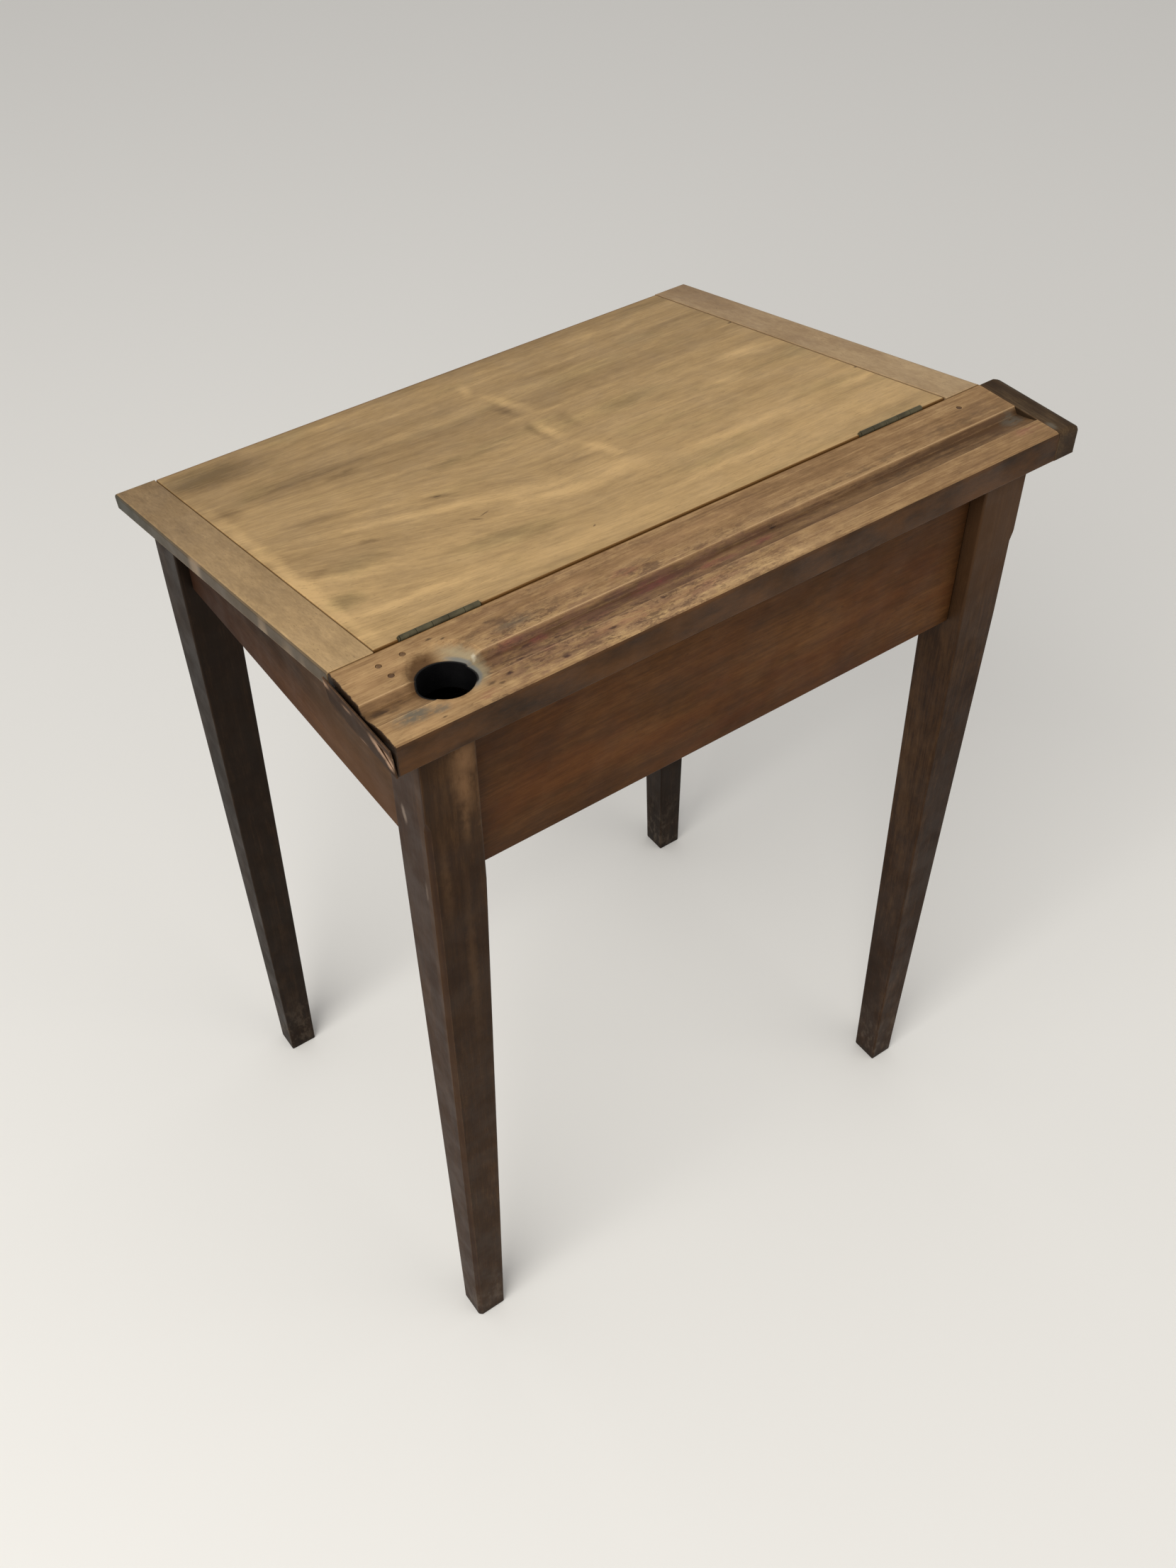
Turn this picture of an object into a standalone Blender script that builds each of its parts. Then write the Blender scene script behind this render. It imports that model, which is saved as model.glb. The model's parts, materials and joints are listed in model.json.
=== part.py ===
"""Small wooden school desk with a sloping, hinged lid over a book box.

Metres, +Z up. The pupil sits on the -Y side and looks along +Y. The pen rail
runs along the back, and its ink hole is at the pupil's right, at the +X end.
The desk is built about the centre of its top, on the floor, and is then moved
so that the origin lies under the middle of its whole box.
"""

import math

import bmesh
import bpy
from mathutils import Matrix, Vector

# Fits
SEAT_GAP = 0.0003
LID_SIDE_GAP = 0.0005
LID_BACK_GAP = 0.0018
CUT_OVERRUN = 0.004

# Desk top
TOP_WIDTH = 0.501
TOP_HEIGHT = 0.690
FRONT_DROP = 0.064
SLOPE_RUN = 0.3222
TOP_BOARD_THICK = 0.011

# Fixed side strips
STRIP_WIDTH = 0.030
STRIP_ROUND = 0.0022

# Lid
LID_SETBACK = 0.002
LID_CROWN = 0.0004
LID_CROWN_STEPS = 4
LID_ROUND = 0.0010

# Battens under the lid
BATTEN_WIDTH = 0.034
BATTEN_THICK = 0.012
BATTEN_FRONT_INSET = 0.050
BATTEN_BACK_INSET = 0.036
BATTEN_SPACING = 0.270

# Pen rail
RAIL_WIDTH = 0.0734
RAIL_THICK = 0.022
RAIL_END_INSET = 0.0005
RAIL_BACK_RADIUS = 0.0030
RAIL_LOW_RADIUS = 0.0015
RAIL_FRONT_RADIUS = 0.0006
GROOVE_INSET = 0.0333
GROOVE_WIDTH = 0.0202
GROOVE_DEPTH = 0.0046
GROOVE_WALL_WIDTH = 0.0028
GROOVE_RIDGE_WIDTH = 0.0009
GROOVE_RIDGE_DROP = 0.0010
GROOVE_LIP_RADIUS = 0.0007
GROOVE_FLOOR_STEPS = 8
GROOVE_FLOOR_POWER = 1.5
ARC_STEPS = 4

# Ink hole
INK_FROM_END = 0.0512
INK_FROM_FRONT = 0.0414
INK_RADIUS = 0.0168
INK_RIM_RADIUS = 0.0178
INK_RIM_DEPTH = 0.0010
INK_DISH_RADIUS = 0.0235
INK_DISH_DEPTH = 0.0041
INK_DISH_SHIFT_X = 0.0053
INK_DISH_SHIFT_Y = 0.0076
INK_POCKET_DEPTH = 0.045
INK_POCKET_ROOM = 0.0002
INK_POCKET_WALL = 0.0018
INK_SEGMENTS = 48

# Ends of the pen rail
CAP_LENGTH = 0.0197
CAP_CORNER_RADIUS = 0.0080
CAP_BACK_CORNER_RADIUS = 0.0030
CAP_TOP_RADIUS = 0.0070
CAP_TOP_BACK_RADIUS = 0.0035
CAP_EDGE_RADIUS = 0.0008
CAP_FRONT_INSET = 0.0004
FACING_THICK = 0.0012
FACING_LEAN = 0.0025
FACING_ROUND = 0.0003
CHIP_HEIGHT = 0.013
CHIP_LENGTH = 0.016
CHIP_DEPTH = 0.0007

# Legs
LEG_SIZE = 0.037
FOOT_SIZE = 0.0240
TAPER_BELOW_APRON = 0.0015
FOOT_INSET_SIDE = 0.0005
FOOT_INSET_END = 0.0095
LEG_ROUND = 0.0012
OVERHANG_SIDE = 0.016
OVERHANG_FRONT = 0.0115
OVERHANG_BACK = 0.0071
CHAMFER_WIDTH = 0.0030
CHAMFER_START = 0.0005
CHAMFER_BELOW_TOP = 0.070
CHAMFER_STOP_LENGTH = 0.012

# Aprons
APRON_THICK = 0.022
APRON_ROUND = 0.0010
SIDE_RECESS = 0.008
END_RECESS = 0.0115
SIDE_DEPTH = 0.128
BACK_DEPTH = 0.1435
TENON_THICK = 0.008
TENON_FROM_FACE = 0.005
TENON_SHOULDER = 0.009
TENON_BELOW_POCKET = 0.005
SIDE_TENON_LENGTH = 0.018
END_TENON_LENGTH = 0.0135

# Book box
LEDGER_WIDTH = 0.012
LEDGER_THICK = 0.008
BOTTOM_THICK = 0.006

# Hinges
HINGE_LENGTH = 0.0535
HINGE_INSET_RIGHT = 0.0440
HINGE_INSET_LEFT = 0.0485
LEAF_THICK = 0.0010
LEAF_ROOM = 0.0004
LEAF_HEIGHT = 0.0095
KNUCKLE_RADIUS = 0.0019
KNUCKLE_COUNT = 5
KNUCKLE_SEGMENTS = 24
PIN_RADIUS = 0.0010
PIN_HEAD_LENGTH = 0.0006
PIN_HEAD_RADIUS = 0.0016
HINGE_SCREW_SPACING = 0.0190
HINGE_SCREW_DROP = 0.0057

# Hinge screws
HINGE_SCREW_HEAD = 0.0019
HINGE_SCREW_SHANK = 0.0010
HINGE_SCREW_LENGTH = 0.0120
HINGE_SCREW_SLOT = 0.0006

# Batten screws
BATTEN_SCREW_HEAD = 0.0036
BATTEN_SCREW_SHANK = 0.0018
BATTEN_SCREW_LENGTH = 0.0180
BATTEN_SCREW_SLOT = 0.0009
BATTEN_SCREW_END_INSET = 0.022
BATTEN_SCREW_COUNT = 3

# Rail nails
NAIL_HEAD_RADIUS = 0.0017
NAIL_HEAD_LENGTH = 0.0012
NAIL_SHANK_RADIUS = 0.0011
NAIL_LENGTH = 0.040
NAIL_SINK = 0.0004
SCREW_POINT_LENGTH = 0.0030
TURNED_STEPS = 16

# Each nail stands at a share of half the side apron's thickness, outwards
# from its middle, and at a share of the way from the rail's front to the leg.
NAIL_SHARES = {
    "rail_nail_right_front": (1, -0.66, 0.35),
    "rail_nail_right_outer": (1, 0.79, 0.386),
    "rail_nail_right_back": (1, 0.63, 0.754),
    "rail_nail_left": (-1, 0.31, 0.433),
}

# Places worked out from the sizes above
HALF_WIDTH = TOP_WIDTH / 2
SIDE_BOTTOM_Z = TOP_HEIGHT - SIDE_DEPTH
BACK_BOTTOM_Z = TOP_HEIGHT - BACK_DEPTH
TAPER_TOP_Z = BACK_BOTTOM_Z - TAPER_BELOW_APRON
CHAMFER_TOP_Z = TOP_HEIGHT - CHAMFER_BELOW_TOP
FRONT_Y = -(SLOPE_RUN + RAIL_WIDTH) / 2
RAIL_FRONT_Y = FRONT_Y + SLOPE_RUN
RAIL_BACK_Y = RAIL_FRONT_Y + RAIL_WIDTH
RAIL_LOW_Z = TOP_HEIGHT - RAIL_THICK
RAIL_END_X = HALF_WIDTH - RAIL_END_INSET
HINGE_TO_RAIL = KNUCKLE_RADIUS + SEAT_GAP
HINGE_Y = RAIL_FRONT_Y - HINGE_TO_RAIL
SLOPE = math.atan2(FRONT_DROP, HINGE_Y - FRONT_Y)
STRIP_INNER_X = HALF_WIDTH - STRIP_WIDTH
LID_HALF_WIDTH = STRIP_INNER_X - LID_SIDE_GAP
LEG_OUTER_X = HALF_WIDTH - OVERHANG_SIDE
LEG_INNER_X = LEG_OUTER_X - LEG_SIZE
LEG_FRONT_Y = FRONT_Y + OVERHANG_FRONT
LEG_BACK_Y = RAIL_BACK_Y - OVERHANG_BACK
LEG_INNER_FRONT_Y = LEG_FRONT_Y + LEG_SIZE
LEG_INNER_BACK_Y = LEG_BACK_Y - LEG_SIZE
SIDE_OUTER_X = LEG_OUTER_X - SIDE_RECESS
SIDE_INNER_X = SIDE_OUTER_X - APRON_THICK
BACK_OUTER_Y = LEG_BACK_Y - END_RECESS
BACK_INNER_Y = BACK_OUTER_Y - APRON_THICK
FRONT_OUTER_Y = LEG_FRONT_Y + END_RECESS
FRONT_INNER_Y = FRONT_OUTER_Y + APRON_THICK
INK_X = RAIL_END_X - INK_FROM_END
INK_Y = RAIL_FRONT_Y + INK_FROM_FRONT
LEDGER_TOP_Z = SIDE_BOTTOM_Z + LEDGER_THICK
BOTTOM_LOW_Z = LEDGER_TOP_Z + SEAT_GAP

# Turns of a flat outline, drawn in X and Y and extruded along Z
ALONG_X = Matrix(((0, 0, 1, 0), (1, 0, 0, 0), (0, 1, 0, 0), (0, 0, 0, 1)))
ALONG_Y = Matrix(((1, 0, 0, 0), (0, 0, -1, 0), (0, 1, 0, 0), (0, 0, 0, 1)))

OAK_DARK = (0.110, 0.060, 0.038, 1)
OAK_SIDE = (0.135, 0.080, 0.062, 1)
OAK_BACK = (0.150, 0.070, 0.034, 1)
LID_TAN = (0.400, 0.255, 0.115, 1)
STRIP_TAN = (0.370, 0.235, 0.110, 1)
STRIP_BROWN = (0.200, 0.100, 0.052, 1)
RAIL_TAN = (0.330, 0.200, 0.110, 1)
CAP_BROWN = (0.075, 0.052, 0.036, 1)
FACING_BROWN = (0.095, 0.060, 0.042, 1)
INSIDE_BROWN = (0.190, 0.115, 0.062, 1)
HINGE_METAL = (0.110, 0.100, 0.085, 1)
NAIL_METAL = (0.050, 0.035, 0.028, 1)


def clear_scene():
    for old in list(bpy.data.objects):
        bpy.data.objects.remove(old, do_unlink=True)


def new_collection(name):
    collection = bpy.data.collections.new(name)
    bpy.context.scene.collection.children.link(collection)
    return collection


def new_empty(name, parent=None, location=(0, 0, 0), tilt=0.0):
    empty = bpy.data.objects.new(name, None)
    PIECES.objects.link(empty)
    empty.parent = parent
    empty.location = location
    empty.rotation_euler.x = tilt
    return empty


def finish(piece, colour, roughness=0.6, metallic=0.0):
    material = bpy.data.materials.new(piece.name + "_finish")
    material.use_nodes = True
    shader = material.node_tree.nodes["Principled BSDF"]
    shader.inputs["Base Color"].default_value = colour
    shader.inputs["Roughness"].default_value = roughness
    shader.inputs["Metallic"].default_value = metallic
    material.diffuse_color = colour
    piece.data.materials.clear()
    piece.data.materials.append(material)


def mesh_object(name, shape, collection, parent):
    """Makes an object from a bmesh, with its faces turned out."""
    bmesh.ops.recalc_face_normals(shape, faces=shape.faces)
    mesh = bpy.data.meshes.new(name)
    shape.to_mesh(mesh)
    shape.free()
    piece = bpy.data.objects.new(name, mesh)
    collection.objects.link(piece)
    piece.parent = parent
    if collection is CUTTERS:
        piece.hide_render = True
        piece.display_type = "WIRE"
    return piece


def box(name, low, high, collection=None, parent=None):
    """A cuboid between two corners, placed by its centre."""
    low = Vector(low)
    high = Vector(high)
    shape = bmesh.new()
    bmesh.ops.create_cube(shape, size=1)
    bmesh.ops.scale(shape, vec=high - low, verts=shape.verts)
    piece = mesh_object(name, shape, collection or PIECES, parent or DESK)
    piece.location = (low + high) / 2
    return piece


def cylinder(name, radius, low, high, segments, collection=None, parent=None, top_radius=None):
    """A round bar or cone between two points on its axis."""
    low = Vector(low)
    high = Vector(high)
    shape = bmesh.new()
    bmesh.ops.create_cone(
        shape,
        cap_ends=True,
        segments=segments,
        radius1=radius,
        radius2=radius if top_radius is None else top_radius,
        depth=(high - low).length,
    )
    piece = mesh_object(name, shape, collection or PIECES, parent or DESK)
    piece.location = (low + high) / 2
    piece.rotation_euler = (high - low).to_track_quat("Z", "Y").to_euler()
    return piece


def extruded(name, outline, low, high, turn, collection=None, parent=None):
    """A flat outline with a thickness, from low to high along its normal."""
    curve = bpy.data.curves.new(name, "CURVE")
    curve.dimensions = "2D"
    curve.fill_mode = "BOTH"
    curve.extrude = (high - low) / 2
    spline = curve.splines.new("POLY")
    spline.points.add(len(outline) - 1)
    for point, place in zip(spline.points, outline):
        point.co = (place[0], place[1], 0, 1)
    spline.use_cyclic_u = True
    drawing = bpy.data.objects.new(name + "_outline", curve)
    bpy.context.scene.collection.objects.link(drawing)
    depsgraph = bpy.context.evaluated_depsgraph_get()
    flat = bpy.data.meshes.new_from_object(drawing.evaluated_get(depsgraph))
    bpy.data.objects.remove(drawing)
    shape = bmesh.new()
    shape.from_mesh(flat)
    bpy.data.meshes.remove(flat)
    bmesh.ops.remove_doubles(shape, verts=shape.verts, dist=SEAT_GAP / 100)
    bmesh.ops.dissolve_limit(shape, angle_limit=0.001, verts=shape.verts, edges=shape.edges)
    bmesh.ops.transform(shape, matrix=turn, verts=shape.verts)
    piece = mesh_object(name, shape, collection or PIECES, parent or DESK)
    piece.location = turn @ Vector((0, 0, (low + high) / 2))
    return piece


def loft(name, rings, collection=None, parent=None):
    """A closed solid through rings that have the same number of corners."""
    shape = bmesh.new()
    made = [[shape.verts.new(corner) for corner in ring] for ring in rings]
    for lower, upper in zip(made, made[1:]):
        for index in range(len(lower)):
            after = (index + 1) % len(lower)
            shape.faces.new((lower[index], lower[after], upper[after], upper[index]))
    shape.faces.new(made[0])
    shape.faces.new(made[-1])
    return mesh_object(name, shape, collection or PIECES, parent or DESK)


def turned(name, profile, parent=None):
    """A turned piece: its profile runs from the top down, about its own Z."""
    mesh = bpy.data.meshes.new(name)
    points = [(radius, 0, height) for radius, height in profile]
    mesh.from_pydata(points, [(i, i + 1) for i in range(len(points) - 1)], [])
    piece = bpy.data.objects.new(name, mesh)
    PIECES.objects.link(piece)
    piece.parent = parent or DESK
    screw = piece.modifiers.new("turn", "SCREW")
    screw.steps = TURNED_STEPS
    screw.render_steps = TURNED_STEPS
    screw.use_merge_vertices = True
    screw.merge_threshold = SEAT_GAP / 100
    return piece


def combine(piece, other, operation):
    modifier = piece.modifiers.new(other.name, "BOOLEAN")
    modifier.operation = operation
    modifier.object = other


def cut(piece, *cutters):
    for cutter in cutters:
        combine(piece, cutter, "DIFFERENCE")


def soften(piece, width, segments=2, weighted=False):
    bevel = piece.modifiers.new("arris", "BEVEL")
    bevel.width = width
    bevel.segments = segments
    bevel.use_clamp_overlap = True
    bevel.limit_method = "WEIGHT" if weighted else "ANGLE"
    bevel.angle_limit = math.radians(40)


def weigh_edges(piece, weight_of):
    """Gives each edge the bevel weight that its middle calls for."""
    mesh = piece.data
    weights = mesh.attributes.new("bevel_weight_edge", "FLOAT", "EDGE")
    for edge in mesh.edges:
        ends = [mesh.vertices[index].co for index in edge.vertices]
        weights.data[edge.index].value = weight_of((ends[0] + ends[1]) / 2)


def arc(centre, radius, start, end, steps=ARC_STEPS):
    """Points round a centre, from one angle in degrees to another."""
    points = []
    for step in range(steps + 1):
        angle = math.radians(start + (end - start) * step / steps)
        points.append((centre[0] + radius * math.cos(angle), centre[1] + radius * math.sin(angle)))
    return points


def grown(low, high, amount):
    """A box's corners, moved out by an amount on every side."""
    return [value - amount for value in low], [value + amount for value in high]


def slope_top(y):
    return TOP_HEIGHT - (HINGE_Y - y) * math.tan(SLOPE)


def slope_low(y):
    return slope_top(y) - TOP_BOARD_THICK / math.cos(SLOPE)


def side_tenon(side, back):
    """The corners of a side apron's tenon, in the front or the back leg."""
    outer = SIDE_OUTER_X - TENON_FROM_FACE
    low_z = SIDE_BOTTOM_Z + TENON_SHOULDER
    if back:
        ends = (LEG_INNER_BACK_Y, LEG_INNER_BACK_Y + SIDE_TENON_LENGTH)
        high_z = TOP_HEIGHT - INK_POCKET_DEPTH - TENON_BELOW_POCKET
    else:
        ends = (LEG_INNER_FRONT_Y - SIDE_TENON_LENGTH, LEG_INNER_FRONT_Y)
        high_z = slope_low(LEG_FRONT_Y) - TENON_SHOULDER
    across = sorted((side * (outer - TENON_THICK), side * outer))
    return (across[0], ends[0], low_z), (across[1], ends[1], high_z)


def end_tenon(side, back):
    """The corners of the back or the front apron's tenon, at one side."""
    if back:
        outer = BACK_OUTER_Y - TENON_FROM_FACE
        along = (outer - TENON_THICK, outer)
        low_z = BACK_BOTTOM_Z + TENON_SHOULDER
        high_z = TOP_HEIGHT - INK_POCKET_DEPTH - TENON_BELOW_POCKET
    else:
        outer = FRONT_OUTER_Y + TENON_FROM_FACE
        along = (outer, outer + TENON_THICK)
        low_z = SIDE_BOTTOM_Z + TENON_SHOULDER
        high_z = slope_low(LEG_FRONT_Y) - TENON_SHOULDER
    across = sorted((side * LEG_INNER_X, side * (LEG_INNER_X + END_TENON_LENGTH)))
    return (across[0], along[0], low_z), (across[1], along[1], high_z)


def add_tenon(piece, corners, axis):
    """Joins a tenon to its apron, with a root inside the board."""
    low = list(corners[0])
    high = list(corners[1])
    if low[axis] < 0:
        high[axis] += CUT_OVERRUN
    else:
        low[axis] -= CUT_OVERRUN
    tenon = box(piece.name + "_tenon", low, high, CUTTERS)
    combine(piece, tenon, "UNION")


def mortise(name, corners, axis):
    """A cutter for a tenon, with its clearance and an overrun at the mouth."""
    low, high = grown(*corners, SEAT_GAP)
    if low[axis] < 0:
        high[axis] += CUT_OVERRUN
    else:
        low[axis] -= CUT_OVERRUN
    return box(name, low, high, CUTTERS)


def leg_faces(side, back, height):
    """The outer and inner faces of a leg at a height: x, x, y, y."""
    share = max(0, 1 - height / TAPER_TOP_Z)
    size = LEG_SIZE + (FOOT_SIZE - LEG_SIZE) * share
    outer_x = side * (LEG_OUTER_X - FOOT_INSET_SIDE * share)
    end = 1 if back else -1
    outer_y = (LEG_BACK_Y if back else LEG_FRONT_Y) - end * FOOT_INSET_END * share
    return outer_x, outer_x - side * size, outer_y, outer_y - end * size


def leg_ring(side, back, height, top=False):
    outer_x, inner_x, outer_y, inner_y = leg_faces(side, back, height)
    ring = []
    for x, y in ((outer_x, outer_y), (inner_x, outer_y), (inner_x, inner_y), (outer_x, inner_y)):
        z = height
        if top:
            z = (RAIL_LOW_Z if back else slope_low(y)) - SEAT_GAP
        ring.append((x, y, z))
    return ring


def chamfer_ring(side, back, height, width):
    """A corner wedge that takes a leg's outer arris off by a width."""
    outer_x, _, outer_y, _ = leg_faces(side, back, height)
    end = 1 if back else -1
    reach = width + CUT_OVERRUN
    return [
        (outer_x - side * reach, outer_y + end * CUT_OVERRUN, height),
        (outer_x + side * CUT_OVERRUN, outer_y + end * CUT_OVERRUN, height),
        (outer_x + side * CUT_OVERRUN, outer_y - end * reach, height),
    ]


def chamfer_cutter(name, side, back):
    stop_z = CHAMFER_TOP_Z - CHAMFER_STOP_LENGTH
    return loft(
        name,
        [
            chamfer_ring(side, back, -CUT_OVERRUN, CHAMFER_WIDTH),
            chamfer_ring(side, back, TAPER_TOP_Z, CHAMFER_WIDTH),
            chamfer_ring(side, back, stop_z, CHAMFER_WIDTH),
            chamfer_ring(side, back, CHAMFER_TOP_Z, -CHAMFER_START),
        ],
        CUTTERS,
    )


def make_legs(ink_cutter):
    for side, side_name in ((-1, "left"), (1, "right")):
        for back, end_name in ((False, "front"), (True, "back")):
            name = f"leg_{end_name}_{side_name}"
            rings = [
                leg_ring(side, back, 0),
                leg_ring(side, back, TAPER_TOP_Z),
                leg_ring(side, back, TOP_HEIGHT, top=True),
            ]
            leg = loft(name, rings)
            soften(leg, LEG_ROUND)
            cut(leg, chamfer_cutter(name + "_chamfer", side, back))
            cut(leg, mortise(name + "_side_mortise", side_tenon(side, back), 1))
            cut(leg, mortise(name + "_end_mortise", end_tenon(side, back), 0))
            if back and side > 0:
                cut(leg, ink_cutter)
            finish(leg, OAK_DARK, 0.55)


def make_side_aprons(ink_cutter, nail_cutters):
    start = LEG_INNER_FRONT_Y + SEAT_GAP
    end = LEG_INNER_BACK_Y - SEAT_GAP
    step = RAIL_FRONT_Y - SEAT_GAP
    outline = [
        (start, SIDE_BOTTOM_Z),
        (end, SIDE_BOTTOM_Z),
        (end, RAIL_LOW_Z - SEAT_GAP),
        (step, RAIL_LOW_Z - SEAT_GAP),
        (step, slope_low(step) - SEAT_GAP),
        (start, slope_low(start) - SEAT_GAP),
    ]
    for side, side_name in ((-1, "left"), (1, "right")):
        across = sorted((side * SIDE_INNER_X, side * SIDE_OUTER_X))
        apron = extruded("apron_" + side_name, outline, across[0], across[1], ALONG_X)
        soften(apron, APRON_ROUND)
        for back in (False, True):
            add_tenon(apron, side_tenon(side, back), 1)
        cut(apron, *nail_cutters[side])
        if side > 0:
            cut(apron, ink_cutter)
        finish(apron, OAK_SIDE, 0.55)


def make_back_apron(ink_cutter):
    reach = LEG_INNER_X - SEAT_GAP
    low = (-reach, BACK_INNER_Y, BACK_BOTTOM_Z)
    high = (reach, BACK_OUTER_Y, RAIL_LOW_Z - SEAT_GAP)
    apron = box("apron_back", low, high)
    soften(apron, APRON_ROUND)
    for side in (-1, 1):
        add_tenon(apron, end_tenon(side, True), 0)
    cut(apron, ink_cutter)
    finish(apron, OAK_BACK, 0.5)


def make_front_apron():
    outline = [
        (FRONT_OUTER_Y, SIDE_BOTTOM_Z),
        (FRONT_INNER_Y, SIDE_BOTTOM_Z),
        (FRONT_INNER_Y, slope_low(FRONT_INNER_Y) - SEAT_GAP),
        (FRONT_OUTER_Y, slope_low(FRONT_OUTER_Y) - SEAT_GAP),
    ]
    reach = LEG_INNER_X - SEAT_GAP
    apron = extruded("apron_front", outline, -reach, reach, ALONG_X)
    soften(apron, APRON_ROUND)
    for side in (-1, 1):
        add_tenon(apron, end_tenon(side, False), 0)
    finish(apron, OAK_BACK, 0.55)


def make_book_box():
    """Ledger strips inside the aprons and the bottom board that lies on them."""
    side_face = SIDE_INNER_X - SEAT_GAP
    side_edge = side_face - LEDGER_WIDTH
    low_z = SIDE_BOTTOM_Z
    start = LEG_INNER_FRONT_Y + SEAT_GAP
    end = LEG_INNER_BACK_Y - SEAT_GAP
    for side, side_name in ((-1, "left"), (1, "right")):
        across = sorted((side * side_edge, side * side_face))
        ledger = box("ledger_" + side_name, (across[0], start, low_z), (across[1], end, LEDGER_TOP_Z))
        soften(ledger, APRON_ROUND)
        finish(ledger, INSIDE_BROWN, 0.7)
    reach = side_edge - SEAT_GAP
    rows = {
        "ledger_front": (FRONT_INNER_Y + SEAT_GAP, FRONT_INNER_Y + SEAT_GAP + LEDGER_WIDTH),
        "ledger_back": (BACK_INNER_Y - SEAT_GAP - LEDGER_WIDTH, BACK_INNER_Y - SEAT_GAP),
    }
    for name, (near, far) in rows.items():
        ledger = box(name, (-reach, near, low_z), (reach, far, LEDGER_TOP_Z))
        soften(ledger, APRON_ROUND)
        finish(ledger, INSIDE_BROWN, 0.7)
    edge_x = side_face
    edge_front = FRONT_INNER_Y + SEAT_GAP
    edge_back = BACK_INNER_Y - SEAT_GAP
    notch_x = LEG_INNER_X - SEAT_GAP
    outline = [
        (-notch_x, edge_front), (notch_x, edge_front),
        (notch_x, start), (edge_x, start),
        (edge_x, end), (notch_x, end),
        (notch_x, edge_back), (-notch_x, edge_back),
        (-notch_x, end), (-edge_x, end),
        (-edge_x, start), (-notch_x, start),
    ]
    top_z = BOTTOM_LOW_Z + BOTTOM_THICK
    bottom = extruded("bottom_board", outline, BOTTOM_LOW_Z, top_z, Matrix())
    finish(bottom, INSIDE_BROWN, 0.75)


def make_strips():
    """The fixed boards at both sides of the lid, worn round outside."""
    end = RAIL_FRONT_Y - SEAT_GAP
    outline = [
        (FRONT_Y, slope_top(FRONT_Y)),
        (FRONT_Y + TOP_BOARD_THICK * math.sin(SLOPE), slope_top(FRONT_Y) - TOP_BOARD_THICK * math.cos(SLOPE)),
        (end, slope_low(end)),
        (end, slope_top(end)),
    ]
    seam_share = 0.25
    for side, side_name, colour in ((-1, "left", STRIP_BROWN), (1, "right", STRIP_TAN)):
        across = sorted((side * STRIP_INNER_X, side * HALF_WIDTH))
        strip = extruded("strip_" + side_name, outline, across[0], across[1], ALONG_X)
        middle_z = (slope_top(0) + slope_low(0)) / 2

        def weight_of(place):
            above_middle = place.z - (middle_z + place.y * math.tan(SLOPE))
            outer_top = side * place.x > STRIP_WIDTH / 4 and above_middle > 0
            front_top = place.y < FRONT_Y + TOP_BOARD_THICK and above_middle > 0
            return 1 if outer_top or front_top else seam_share

        weigh_edges(strip, weight_of)
        soften(strip, STRIP_ROUND, 3, weighted=True)
        finish(strip, colour, 0.5)


def rail_outline():
    """The pen rail's section: a board with a groove scooped along its top."""
    wall_y = RAIL_FRONT_Y + GROOVE_INSET
    foot_y = wall_y + GROOVE_WALL_WIDTH
    ridge_y = wall_y + GROOVE_WIDTH
    low = RAIL_LOW_RADIUS
    high = RAIL_BACK_RADIUS
    front = RAIL_FRONT_RADIUS
    lip = GROOVE_LIP_RADIUS
    outline = [(RAIL_FRONT_Y, RAIL_LOW_Z)]
    outline += arc((RAIL_BACK_Y - low, RAIL_LOW_Z + low), low, -90, 0)
    outline += arc((RAIL_BACK_Y - high, TOP_HEIGHT - high), high, 0, 90)
    outline.append((ridge_y, TOP_HEIGHT))
    floor_y = ridge_y - GROOVE_RIDGE_WIDTH
    for step in range(GROOVE_FLOOR_STEPS + 1):
        share = 1 - step / GROOVE_FLOOR_STEPS
        fall = 1 - share ** GROOVE_FLOOR_POWER
        drop = GROOVE_RIDGE_DROP + (GROOVE_DEPTH - GROOVE_RIDGE_DROP) * fall
        outline.append((foot_y + (floor_y - foot_y) * share, TOP_HEIGHT - drop))
    outline += arc((wall_y - lip, TOP_HEIGHT - lip), lip, 0, 90)
    outline += arc((RAIL_FRONT_Y + front, TOP_HEIGHT - front), front, 90, 180)
    return outline


def make_rail(nail_cutters, hinge_cutters):
    rail = extruded("pen_rail", rail_outline(), -RAIL_END_X, RAIL_END_X, ALONG_X)
    through = cylinder(
        "ink_hole_cutter", INK_RADIUS,
        (INK_X, INK_Y, RAIL_LOW_Z - CUT_OVERRUN), (INK_X, INK_Y, TOP_HEIGHT + CUT_OVERRUN),
        INK_SEGMENTS, CUTTERS,
    )
    rim_slope = (INK_RIM_RADIUS - INK_RADIUS) / INK_RIM_DEPTH
    rim = cylinder(
        "ink_rim_cutter", INK_RADIUS - rim_slope * SEAT_GAP,
        (INK_X, INK_Y, TOP_HEIGHT - INK_RIM_DEPTH - SEAT_GAP),
        (INK_X, INK_Y, TOP_HEIGHT + CUT_OVERRUN),
        INK_SEGMENTS, CUTTERS, top_radius=INK_RIM_RADIUS + rim_slope * CUT_OVERRUN,
    )
    cut(rail, through, rim, ink_dish_cutter())
    for side in (-1, 1):
        cut(rail, *nail_cutters[side])
    cut(rail, *hinge_cutters)
    finish(rail, RAIL_TAN, 0.55)


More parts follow.
